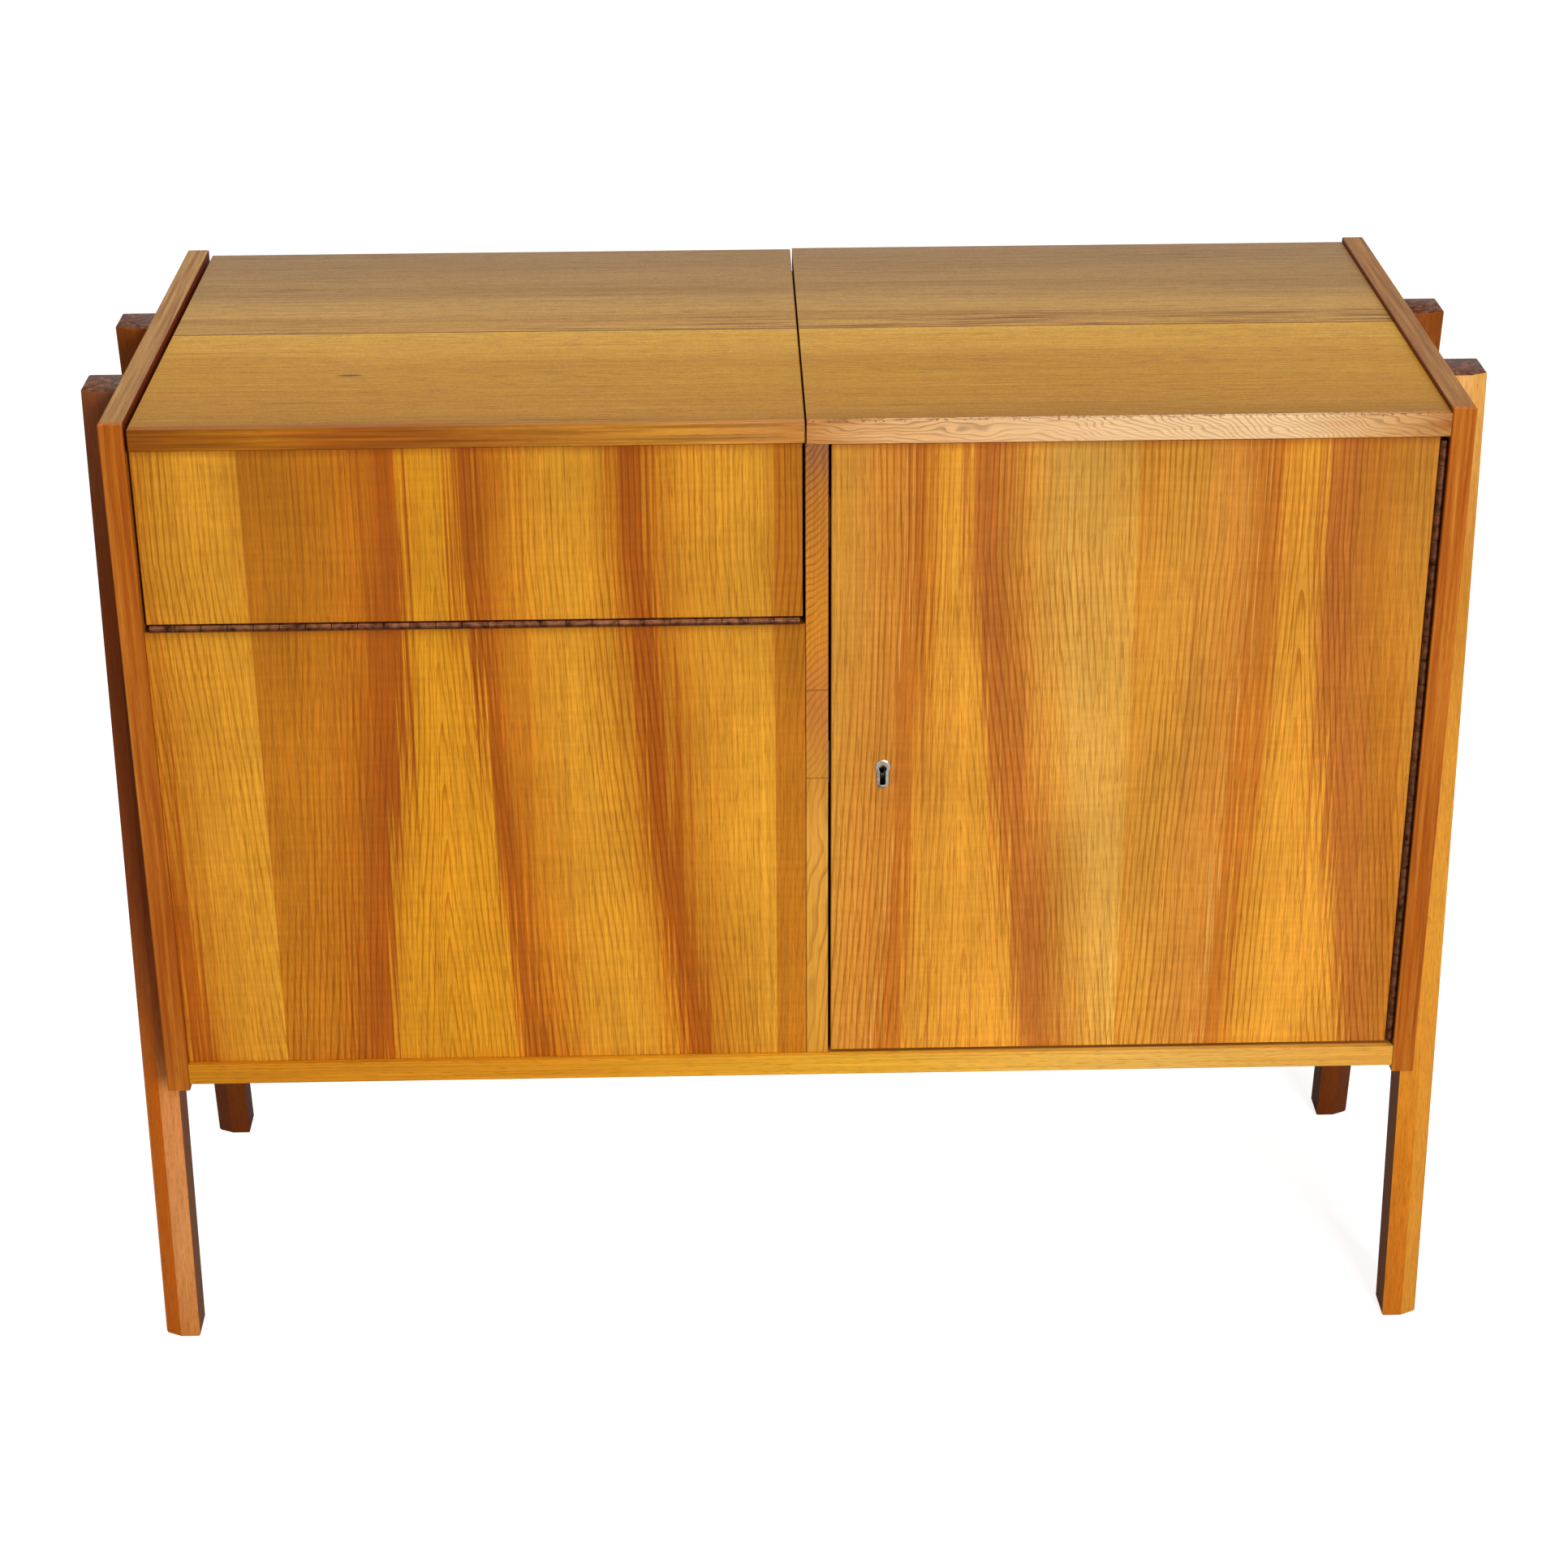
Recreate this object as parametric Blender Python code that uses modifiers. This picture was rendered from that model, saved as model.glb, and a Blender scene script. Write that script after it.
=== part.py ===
"""Bar buffet: a veneered box case hung between four outboard legs.

The left half is a bar: its top lifts as a lid and its front flap drops, over a deep bottle well.
The right half is a cupboard with one hinged, locking door. Front is -Y, up is +Z, floor is zero.
"""
import math
from collections import defaultdict

import bmesh
import bpy
from mathutils import Matrix, Vector

# Case, all in metres
CASE_WIDTH = 1.0
CASE_DEPTH = 0.442
CASE_LIFT = 0.258
SIDE_HEIGHT = 0.562
SIDE_THICKNESS = 0.0175
TOP_THICKNESS = 0.0175
TOP_DROP = 0.004
LID_THICKNESS = 0.0165
BOTTOM_THICKNESS = 0.0175
BOTTOM_RISE = 0.006
DIVIDER_THICKNESS = 0.017
DIVIDER_OFFSET = 0.0113
LIPPING_DEPTH = 0.006
EDGE_BREAK = 0.0006

# Fronts
FRONT_RECESS = 0.0055
FRONT_THICKNESS = 0.017
FLAP_HEIGHT = 0.137
FLAP_SIDE_GAP = 0.0022
FLAP_TOP_GAP = 0.0018
DOOR_FREE_GAP = 0.0022
DOOR_TOP_GAP = 0.002
DOOR_BOTTOM_GAP = 0.0022
LID_SIDE_GAP = 0.003
TOP_SEAM = 0.0016
TOP_SETBACK = 0.001

# Fits
FIT = 0.0003
OVERRUN = 0.002
WELD = 0.00001

# Back, rails and shelves
REBATE_DEPTH = 0.008
REBATE_WIDTH = 0.008
BACK_THICKNESS = 0.004
BACK_TOP_DROP = 0.014
RAIL_THICKNESS = 0.017
RAIL_HEIGHT = 0.045
SHELF_THICKNESS = 0.012
SHELF_GAP = 0.001
BAR_SHELF_DEPTH = 0.2
HOUSING_DEPTH = 0.005
CUPBOARD_SHELF_SETBACK = 0.052
CUPBOARD_SHELF_HEIGHT = 0.205
PIN_RADIUS = 0.0025
PIN_REACH = 0.008
PIN_INSET = 0.045
REST_BLOCK_SIZE = 0.012
REST_BLOCK_LENGTH = 0.09
REST_BLOCK_SETBACK = 0.14
DOOR_STOP_SIZE = 0.012
DOOR_STOP_LENGTH = 0.04
DOOR_STOP_DROP = 0.05

# Legs: setbacks run from the case's front plane to the leg's front face
LEG_THICKNESS = 0.029
LEG_FACET_WIDTH = 0.0128
LEG_FACET_DEPTH = 0.006
LEG_TOP_DEPTH = 0.040
LEG_FOOT_DEPTH = 0.028
LEG_TOP_DROP = 0.005
LEG_TOP_SETBACKS = {"front": 0.090, "rear": 0.243}
LEG_FOOT_SETBACKS = {"front": 0.024, "rear": 0.342}
LEG_TOP_EASE = 0.0012
LEG_FOOT_EASE = 0.003
LEG_SCREW_RISES = {"lower": 0.08, "upper": 0.47}
LEG_SCREW_RADIUS = 0.0025
LEG_SCREW_HEAD_RADIUS = 0.0045
LEG_SCREW_HEAD_HEIGHT = 0.0018
LEG_SCREW_BITE = 0.018

# Piano hinges
KNUCKLE_RADIUS = 0.0028
KNUCKLE_PITCH = 0.0195
KNUCKLE_GAP = 0.0004
LEAF_THICKNESS = 0.0011
LEAF_WIDTH = 0.0145
HINGE_PIN_RADIUS = 0.0012
HINGE_END_GAP = 0.002

# Flap stays: a quadrant on each side, centred on the flap hinge
STAY_HEAD_DROP = 0.0251
STAY_WIDTH = 0.008
STAY_THICKNESS = 0.002
STAY_STANDOFF = 0.006
STAY_TAIL = 0.006
STAY_PIN_RADIUS = 0.0015
STAY_PIN_LENGTH = 0.007
STAY_FOOT_THICKNESS = 0.0018
STAY_FOOT_WIDTH = 0.014
STAY_FOOT_HEIGHT = 0.03
STAY_FOOT_GAP = 0.0005
GUIDE_DEPTH = 0.008
GUIDE_REACH = 0.0105
GUIDE_WALL = 0.009
GUIDE_CLEARANCE = 0.0006

# Folding lid stay: four equal sides, so both arms turn at the lid's own rate
LID_STAY_REACH = 0.12
LID_STAY_DROP = 0.0085
LID_STAY_BASE_ANGLE = math.radians(240)
ARM_THICKNESS = 0.002
ARM_WIDTH = 0.012
ARM_STUD_RADIUS = 0.0025
ARM_STUD_HEAD_RADIUS = 0.004
ARM_STUD_HEAD_HEIGHT = 0.001
STAY_BASE_THICKNESS = 0.003
STAY_BASE_WIDTH = 0.016
STAY_BASE_HEIGHT = 0.04
BRACKET_THICKNESS = 0.0018
BRACKET_WIDTH = 0.016
BRACKET_FLANGE = 0.014
BRACKET_LENGTH = 0.036

# Lock and keyhole insert
KEYHOLE_BACKSET = 0.0397
KEYHOLE_RISE = 0.275
KEYHOLE_RADIUS = 0.0031
KEYHOLE_SLOT_WIDTH = 0.0034
KEYHOLE_HEIGHT = 0.015
INSERT_HEAD_RADIUS = 0.006
INSERT_STEM_WIDTH = 0.0094
INSERT_HEIGHT = 0.0238
INSERT_HEAD_RISE = 0.0015
INSERT_DEPTH = 0.01
INSERT_PROUD = 0.0004
LOCK_SETBACK = 0.0015
LOCK_WIDTH = 0.056
LOCK_HEIGHT = 0.06
LOCK_THICKNESS = 0.012
LOCK_WALL = 0.003
BOLT_LENGTH = 0.03
BOLT_THICKNESS = 0.006
BOLT_HEIGHT = 0.014
STRIKE_THICKNESS = 0.0012
STRIKE_WIDTH = 0.018
STRIKE_HEIGHT = 0.036
STRIKE_CLEARANCE = 0.0006
MORTISE_DEPTH = 0.007

# Facets of round work
ROUND_STEPS = 12
SMALL_ROUND_STEPS = 8
KNUCKLE_STEPS = 9
BORE_STEPS = 6
ARC_STEPS = 18
ROUND_PROFILE = 0.5
SHADE_ANGLE = math.radians(35)

# Planes and levels of the case
FRONT_Y = -CASE_DEPTH / 2
REAR_Y = CASE_DEPTH / 2
SIDE_OUTER_X = CASE_WIDTH / 2
SIDE_INNER_X = SIDE_OUTER_X - SIDE_THICKNESS
SIDE_TOP_Z = CASE_LIFT + SIDE_HEIGHT
BOTTOM_Z = CASE_LIFT + BOTTOM_RISE
FLOOR_Z = BOTTOM_Z + BOTTOM_THICKNESS
TOP_Z = SIDE_TOP_Z - TOP_DROP
TOP_UNDER_Z = TOP_Z - TOP_THICKNESS
LID_UNDER_Z = TOP_Z - LID_THICKNESS
DIVIDER_LEFT_X = DIVIDER_OFFSET
DIVIDER_RIGHT_X = DIVIDER_LEFT_X + DIVIDER_THICKNESS
CARCASS_REAR_Y = REAR_Y - REBATE_DEPTH
BACK_Y = CARCASS_REAR_Y + FIT
FACE_Y = FRONT_Y + FRONT_RECESS
FACE_REAR_Y = FACE_Y + FRONT_THICKNESS
HINGE_STACK = KNUCKLE_RADIUS + FIT
FLAP_TOP_Z = LID_UNDER_Z - FLAP_TOP_GAP
FLAP_Z = FLAP_TOP_Z - FLAP_HEIGHT
FLAP_AXIS_Z = FLAP_Z - HINGE_STACK
LOWER_PANEL_Z = FLOOR_Z + FIT
LOWER_PANEL_TOP_Z = FLAP_AXIS_Z - HINGE_STACK
STAY_RADIUS = FLAP_TOP_Z - FLAP_AXIS_Z - STAY_HEAD_DROP
LID_AXIS_Z = LID_UNDER_Z - HINGE_STACK
LID_REAR_Y = REAR_Y - KNUCKLE_RADIUS
LID_RIGHT_X = DIVIDER_LEFT_X + TOP_SETBACK - TOP_SEAM
LID_LEFT_X = -SIDE_INNER_X + LID_SIDE_GAP
RAIL_TOP_Z = LID_AXIS_Z - HINGE_STACK
BACK_TOP_Z = RAIL_TOP_Z - BACK_TOP_DROP
RAIL_Y = CARCASS_REAR_Y - RAIL_THICKNESS
DOOR_AXIS_X = SIDE_INNER_X - HINGE_STACK
DOOR_LEFT_X = DIVIDER_RIGHT_X + DOOR_FREE_GAP
DOOR_RIGHT_X = DOOR_AXIS_X - HINGE_STACK
DOOR_Z = FLOOR_Z + DOOR_BOTTOM_GAP
DOOR_TOP_Z = TOP_UNDER_Z - DOOR_TOP_GAP
KEYHOLE_X = DOOR_LEFT_X + KEYHOLE_BACKSET
KEYHOLE_Z = CASE_LIFT + KEYHOLE_RISE

for leftover in list(bpy.data.objects):
    bpy.data.objects.remove(leftover, do_unlink=True)


def linked_collection(name):
    collection = bpy.data.collections.new(name)
    bpy.context.scene.collection.children.link(collection)
    return collection


PARTS = linked_collection("bar_buffet")
CUTTERS = linked_collection("cutters")
HOLES = defaultdict(list)


def finish(name, colour, roughness, metallic):
    """A plain material with the photographed piece's colour and gloss."""
    material = bpy.data.materials.new(name)
    material.use_nodes = True
    shader = material.node_tree.nodes["Principled BSDF"]
    shader.inputs["Base Color"].default_value = (*colour, 1.0)
    shader.inputs["Roughness"].default_value = roughness
    shader.inputs["Metallic"].default_value = metallic
    return material


def piece(name, mesh, material, place=None, carrier=None):
    """One named piece, placed by its own transform and carried by its pivot empty."""
    obj = bpy.data.objects.new(name, mesh)
    mesh.materials.clear()
    mesh.materials.append(material)
    PARTS.objects.link(obj)
    obj.matrix_world = place if place else Matrix.Identity(4)
    if carrier:
        obj.parent = carrier
        obj.matrix_parent_inverse = pivot_place(carrier).inverted()
    return obj


def pivot_place(empty):
    """World transform of a pivot, which is only ever moved, never turned."""
    place = Matrix.Translation(empty.location)
    if empty.parent:
        return pivot_place(empty.parent) @ place
    return place


def pivot(name, point, parent=None):
    """An empty on a joint's axis."""
    empty = bpy.data.objects.new(name, None)
    empty.empty_display_type = "ARROWS"
    PARTS.objects.link(empty)
    empty.location = point
    if parent:
        empty.parent = parent
        empty.location = point - pivot_place(parent).translation
    return empty


def to_mesh(bm, name):
    bmesh.ops.recalc_face_normals(bm, faces=bm.faces)
    mesh = bpy.data.meshes.new(name)
    bm.to_mesh(mesh)
    bm.free()
    return mesh


def evaluated_mesh(obj):
    """The welded mesh that an object's modifiers or curve settings make."""
    bpy.context.scene.collection.objects.link(obj)
    graph = bpy.context.evaluated_depsgraph_get()
    raw = bpy.data.meshes.new_from_object(obj.evaluated_get(graph))
    data = obj.data
    bpy.data.objects.remove(obj)
    if isinstance(data, bpy.types.Curve):
        bpy.data.curves.remove(data)
    else:
        bpy.data.meshes.remove(data)
    bm = bmesh.new()
    bm.from_mesh(raw)
    bmesh.ops.remove_doubles(bm, verts=bm.verts, dist=WELD)
    bpy.data.meshes.remove(raw)
    return to_mesh(bm, "solid")


def shade_round(obj):
    obj.data.shade_smooth()
    obj.data.set_sharp_from_angle(angle=SHADE_ANGLE)


def box_mesh(size, break_width=0.0, plain=()):
    """A box about its centre. Edges round the faces named in plain stay sharp."""
    bm = bmesh.new()
    bmesh.ops.create_cube(bm, size=1.0)
    bmesh.ops.scale(bm, vec=size, verts=bm.verts)
    if break_width:
        sides = {"left": (0, -1), "right": (0, 1), "front": (1, -1),
                 "rear": (1, 1), "bottom": (2, -1), "top": (2, 1)}
        sharp = set()
        for name in plain:
            axis, sign = sides[name]
            for edge in bm.edges:
                if all(vert.co[axis] * sign > 0 for vert in edge.verts):
                    sharp.add(edge)
        eased = [edge for edge in bm.edges if edge not in sharp]
        bmesh.ops.bevel(bm, geom=eased, offset=break_width, segments=1, affect="EDGES")
    return to_mesh(bm, "box")


def box(name, low, high, material, plain=(), carrier=None, eased=True):
    """A board, block or plate between two corners."""
    low = Vector(low)
    high = Vector(high)
    mesh = box_mesh(high - low, EDGE_BREAK if eased else 0.0, plain)
    return piece(name, mesh, material, Matrix.Translation((low + high) / 2), carrier)


def box_body(low, high):
    """A loose box in world space, for cutters and joined shapes."""
    low = Vector(low)
    high = Vector(high)
    mesh = box_mesh(high - low)
    mesh.transform(Matrix.Translation((low + high) / 2))
    return mesh


def turned_mesh(profile, steps):
    """Turn a profile of (radius, height) points, top to bottom, about Z."""
    mesh = bpy.data.meshes.new("profile")
    points = [(radius, 0, height) for radius, height in profile]
    mesh.from_pydata(points, [(i, i + 1) for i in range(len(points) - 1)], [])
    obj = bpy.data.objects.new("profile", mesh)
    turn = obj.modifiers.new("turn", "SCREW")
    turn.steps = steps
    turn.render_steps = steps
    turn.use_merge_vertices = True
    turn.merge_threshold = WELD
    return evaluated_mesh(obj)


def outline_mesh(splines, half_thickness):
    """A flat outline, with any holes, in XY and extruded both ways along Z."""
    curve = bpy.data.curves.new("outline", "CURVE")
    curve.dimensions = "2D"
    curve.fill_mode = "BOTH"
    curve.extrude = half_thickness
    for points in splines:
        spline = curve.splines.new("POLY")
        spline.points.add(len(points) - 1)
        for slot, (x, y) in zip(spline.points, points):
            slot.co = (x, y, 0, 1)
        spline.use_cyclic_u = True
    return evaluated_mesh(bpy.data.objects.new("outline", curve))


def rod_mesh(radius, length, steps=ROUND_STEPS):
    """A rod along Z from the origin down to -length."""
    bm = bmesh.new()
    bmesh.ops.create_cone(bm, cap_ends=True, segments=steps, radius1=radius, radius2=radius, depth=length)
    bmesh.ops.translate(bm, vec=(0, 0, -length / 2), verts=bm.verts)
    return to_mesh(bm, "rod")


def arc(centre, radius, start, end, steps):
    """Points along an arc, both ends included."""
    points = []
    for i in range(steps + 1):
        angle = start + (end - start) * i / steps
        points.append((centre[0] + radius * math.cos(angle), centre[1] + radius * math.sin(angle)))
    return points


def circle(centre, radius, steps):
    return arc(centre, radius, 0, math.tau, steps)[:-1]


def joined(bodies):
    """One mesh that holds a copy of each body."""
    bm = bmesh.new()
    for body in bodies:
        bm.from_mesh(body)
    mesh = bpy.data.meshes.new("joined")
    bm.to_mesh(mesh)
    bm.free()
    return mesh


def placed(mesh, place):
    copy = mesh.copy()
    copy.transform(place)
    return copy


def boolean(target, label, operation, mesh):
    """Cut or join a world-space mesh, which then follows its piece."""
    helper = bpy.data.objects.new(target.name + "_" + label, mesh)
    helper.hide_render = True
    helper.display_type = "WIRE"
    CUTTERS.objects.link(helper)
    helper.parent = target
    helper.matrix_parent_inverse = target.matrix_basis.inverted()
    modifier = target.modifiers.new(label, "BOOLEAN")
    modifier.operation = operation
    modifier.solver = "EXACT"
    modifier.use_self = True
    modifier.object = helper


def cut_holes():
    """Take every hole that was asked for out of its piece, once all pieces exist."""
    for name, bodies in HOLES.items():
        boolean(bpy.data.objects[name], "holes", "DIFFERENCE", joined(bodies))


def facing(point, direction):
    """A place whose -Z runs along direction, for screws, pins and studs."""
    turn = Vector(direction).to_track_quat("-Z", "Y").to_matrix().to_4x4()
    return Matrix.Translation(point) @ turn


def driven(name, kit, point, direction, boards):
    """Set a screw or pin from a kit at a point, in a hole through each board named."""
    place = facing(point, direction)
    for board in boards:
        HOLES[board].append(placed(kit["hole"], place))
    shade_round(piece(name, kit["solid"].copy(), STEEL, place))


def pan_screw(radius, head_radius, head_height, length):
    """A round-headed screw, its head on the surface at the origin, with its hole."""
    shoulder = head_radius - head_height / 2
    solid = turned_mesh(
        [(0, head_height), (shoulder, head_height), (head_radius, head_height / 2), (head_radius, FIT),
         (radius, FIT), (radius, -length), (0, -length)], ROUND_STEPS)
    hole = rod_mesh(radius + FIT, length + FIT + OVERRUN)
    hole.transform(Matrix.Translation((0, 0, OVERRUN)))
    return {"solid": solid, "hole": hole}


VENEER = finish("honey_veneer", (0.60, 0.29, 0.05), 0.35, 0.0)
SOLID_WOOD = finish("solid_lipping", (0.55, 0.24, 0.05), 0.4, 0.0)
LEG_WOOD = finish("leg_wood", (0.50, 0.20, 0.035), 0.4, 0.0)
PLAIN_WOOD = finish("inside_wood", (0.52, 0.34, 0.16), 0.55, 0.0)
HARDBOARD = finish("hardboard", (0.23, 0.12, 0.06), 0.8, 0.0)
HINGE_BRASS = finish("dull_brass", (0.42, 0.31, 0.16), 0.4, 1.0)
STEEL = finish("zinc_steel", (0.55, 0.55, 0.56), 0.4, 1.0)
NICKEL = finish("nickel", (0.72, 0.69, 0.64), 0.25, 1.0)

LID_AXIS = Vector(((LID_LEFT_X + LID_RIGHT_X) / 2, LID_REAR_Y, LID_AXIS_Z))
FLAP_AXIS = Vector(((DIVIDER_LEFT_X - SIDE_INNER_X) / 2, FACE_Y, FLAP_AXIS_Z))
DOOR_AXIS = Vector((DOOR_AXIS_X, FACE_Y, (DOOR_Z + DOOR_TOP_Z) / 2))
LID_PIVOT = pivot("lid_pivot", LID_AXIS)
FLAP_PIVOT = pivot("flap_pivot", FLAP_AXIS)
DOOR_PIVOT = pivot("door_pivot", DOOR_AXIS)


def lipped_board(name, low, high, butted, carrier=None):
    """A veneered board with a solid strip glued on its front edge."""
    seam = low[1] + LIPPING_DEPTH
    box(name + "_panel", (low[0], seam + FIT, low[2]), high, VENEER, ("front",) + butted, carrier)
    box(name + "_lipping", low, (high[0], seam, high[2]), SOLID_WOOD, ("rear",) + butted, carrier)


def build_sides():
    for name, sign in (("side_left", -1), ("side_right", 1)):
        xs = sorted((sign * SIDE_INNER_X, sign * SIDE_OUTER_X))
        lipped_board(name, (xs[0], FRONT_Y, CASE_LIFT), (xs[1], REAR_Y, SIDE_TOP_Z), ())
        rebate = sorted((sign * (SIDE_INNER_X - OVERRUN), sign * (SIDE_INNER_X + REBATE_WIDTH)))
        low = (rebate[0], CARCASS_REAR_Y, CASE_LIFT - OVERRUN)
        high = (rebate[1], REAR_Y + OVERRUN, BACK_TOP_Z + FIT)
        HOLES[name + "_panel"].append(box_body(low, high))


def build_boards():
    ends = ("left", "right")
    inner = SIDE_INNER_X - FIT
    lipped_board("bottom", (-inner, FRONT_Y, BOTTOM_Z), (inner, CARCASS_REAR_Y, FLOOR_Z), ends)
    top_left = DIVIDER_LEFT_X + TOP_SETBACK
    lipped_board("top_right", (top_left, FRONT_Y, TOP_UNDER_Z), (inner, REAR_Y, TOP_Z), ends)
    divider_low = (DIVIDER_LEFT_X, FACE_Y, FLOOR_Z + FIT)
    divider_high = (DIVIDER_RIGHT_X, CARCASS_REAR_Y, TOP_UNDER_Z - FIT)
    lipped_board("divider", divider_low, divider_high, ("top", "bottom"))
    lid_low = (LID_LEFT_X, FRONT_Y, LID_UNDER_Z)
    lipped_board("lid", lid_low, (LID_RIGHT_X, LID_REAR_Y, TOP_Z), (), LID_PIVOT)


def build_back():
    half = SIDE_INNER_X + REBATE_WIDTH - FIT
    box("back_panel", (-half, BACK_Y, BOTTOM_Z), (half, BACK_Y + BACK_THICKNESS, BACK_TOP_Z), HARDBOARD)
    left = (-SIDE_INNER_X + FIT, DIVIDER_LEFT_X - FIT)
    right = (DIVIDER_RIGHT_X + FIT, SIDE_INNER_X - FIT)
    tops = {"rear_rail_left": (left, RAIL_TOP_Z), "rear_rail_right": (right, TOP_UNDER_Z - FIT)}
    for name, (xs, top) in tops.items():
        low = (xs[0], RAIL_Y, top - RAIL_HEIGHT)
        box(name, low, (xs[1], CARCASS_REAR_Y, top), PLAIN_WOOD)


def build_fronts():
    lower_low = (-SIDE_INNER_X + FIT, FACE_Y, LOWER_PANEL_Z)
    lower_high = (DIVIDER_LEFT_X - FIT, FACE_REAR_Y, LOWER_PANEL_TOP_Z)
    box("lower_front_panel", lower_low, lower_high, VENEER, ("left", "right", "bottom"))
    flap_low = (-SIDE_INNER_X + FLAP_SIDE_GAP, FACE_Y, FLAP_Z)
    flap_high = (DIVIDER_LEFT_X - FLAP_SIDE_GAP, FACE_REAR_Y, FLAP_TOP_Z)
    box("flap_panel", flap_low, flap_high, VENEER, (), FLAP_PIVOT)
    door_low = (DOOR_LEFT_X, FACE_Y, DOOR_Z)
    box("door_panel", door_low, (DOOR_RIGHT_X, FACE_REAR_Y, DOOR_TOP_Z), VENEER, (), DOOR_PIVOT)


def build_leg(name, sign, row):
    """A leaning leg, flat against the side panel, with a shallow facet along its front outer edge."""
    inner = sign * (SIDE_OUTER_X + FIT)
    outer = inner + sign * LEG_THICKNESS
    turn = outer - sign * LEG_FACET_WIDTH
    top_z = SIDE_TOP_Z - LEG_TOP_DROP
    bm = bmesh.new()
    rings = []
    for z, setbacks, depth in ((0, LEG_FOOT_SETBACKS, LEG_FOOT_DEPTH),
                               (top_z, LEG_TOP_SETBACKS, LEG_TOP_DEPTH)):
        front = FRONT_Y + setbacks[row]
        rear = front + depth
        section = [(inner, front), (turn, front), (outer, front + LEG_FACET_DEPTH),
                   (outer, rear), (inner, rear)]
        rings.append([bm.verts.new((x, y, z)) for x, y in section])
    foot, top = rings
    bm.faces.new(foot)
    bm.faces.new(top)
    for i in range(len(foot)):
        bm.faces.new((foot[i - 1], foot[i], top[i], top[i - 1]))
    bmesh.ops.recalc_face_normals(bm, faces=bm.faces)
    for level, width in ((top_z, LEG_TOP_EASE), (0, LEG_FOOT_EASE)):
        rim = [e for e in bm.edges if all(abs(v.co.z - level) < WELD for v in e.verts)]
        bmesh.ops.bevel(bm, geom=rim, offset=width, segments=2, profile=ROUND_PROFILE, affect="EDGES")
    piece(name, to_mesh(bm, name), LEG_WOOD)


def leg_centre_y(row, z):
    """Middle of a leg, front to back, at a height."""
    share = z / (SIDE_TOP_Z - LEG_TOP_DROP)
    foot = LEG_FOOT_SETBACKS[row] + LEG_FOOT_DEPTH / 2
    top = LEG_TOP_SETBACKS[row] + LEG_TOP_DEPTH / 2
    return FRONT_Y + foot + (top - foot) * share


def build_legs():
    length = SIDE_THICKNESS + LEG_SCREW_BITE
    kit = pan_screw(LEG_SCREW_RADIUS, LEG_SCREW_HEAD_RADIUS, LEG_SCREW_HEAD_HEIGHT, length)
    for side, sign in (("left", -1), ("right", 1)):
        for row in ("front", "rear"):
            label = row + "_" + side
            build_leg("leg_" + label, sign, row)
            boards = ("side_" + side + "_panel", "leg_" + label)
            for level, rise in LEG_SCREW_RISES.items():
                z = CASE_LIFT + rise
                point = (sign * SIDE_INNER_X, leg_centre_y(row, z), z)
                driven("leg_screw_" + label + "_" + level, kit, point, (sign, 0, 0), boards)


def leaf_outline(side):
    """Cross-section of a leaf rolled round its pin, in the hinge's own XY. side is +1 or -1."""
    flat = KNUCKLE_RADIUS - LEAF_THICKNESS
    start = math.acos(flat / KNUCKLE_RADIUS)
    points = arc((0, 0), KNUCKLE_RADIUS, start, math.tau, KNUCKLE_STEPS)
    points += [(KNUCKLE_RADIUS, LEAF_WIDTH), (flat, LEAF_WIDTH)]
    return [(side * x, y) for x, y in points]


def build_leaf(name, side, length, place, carrier):
    """One leaf with every second knuckle cut away for the other leaf's."""
    bore = circle((0, 0), HINGE_PIN_RADIUS + FIT, BORE_STEPS)
    mesh = outline_mesh([leaf_outline(side), bore], length / 2)
    leaf = piece(name, mesh, HINGE_BRASS, place, carrier)
    count = round(length / KNUCKLE_PITCH)
    pitch = length / count
    reach = KNUCKLE_RADIUS + OVERRUN
    for i in range(count):
        if (i % 2 == 0) == (side > 0):
            continue
        low = i * pitch - (length + KNUCKLE_GAP) / 2
        high = low + pitch + KNUCKLE_GAP
        if i == 0:
            low -= OVERRUN
        if i == count - 1:
            high += OVERRUN
        gap = box_body((-reach, -reach, low), (reach, KNUCKLE_RADIUS + KNUCKLE_GAP, high))
        HOLES[name].append(placed(gap, place))
    shade_round(leaf)


def build_hinge(name, length, place, carrier):
    """A piano hinge whose axis is its own Z, with its case leaf on its own +X side."""
    build_leaf(name + "_hinge_case_leaf", 1, length, place, None)
    build_leaf(name + "_hinge_" + name + "_leaf", -1, length, place, carrier)
    pin_place = place @ Matrix.Translation((0, 0, length / 2))
    pin = rod_mesh(HINGE_PIN_RADIUS, length, SMALL_ROUND_STEPS)
    shade_round(piece(name + "_hinge_pin", pin, STEEL, pin_place))


def build_hinges():
    lay_flat = Matrix.Rotation(math.pi / 2, 4, "Y")
    turn_back = Matrix.Rotation(math.pi, 4, "Z")
    ends = HINGE_END_GAP * 2
    build_hinge("door", DOOR_TOP_Z - DOOR_Z - ends, Matrix.Translation(DOOR_AXIS), DOOR_PIVOT)
    flap_width = DIVIDER_LEFT_X + SIDE_INNER_X - FLAP_SIDE_GAP * 2
    build_hinge("flap", flap_width - ends, Matrix.Translation(FLAP_AXIS) @ lay_flat, FLAP_PIVOT)
    lid_place = Matrix.Translation(LID_AXIS) @ turn_back @ lay_flat
    build_hinge("lid", LID_RIGHT_X - LID_LEFT_X - ends, lid_place, LID_PIVOT)


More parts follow.
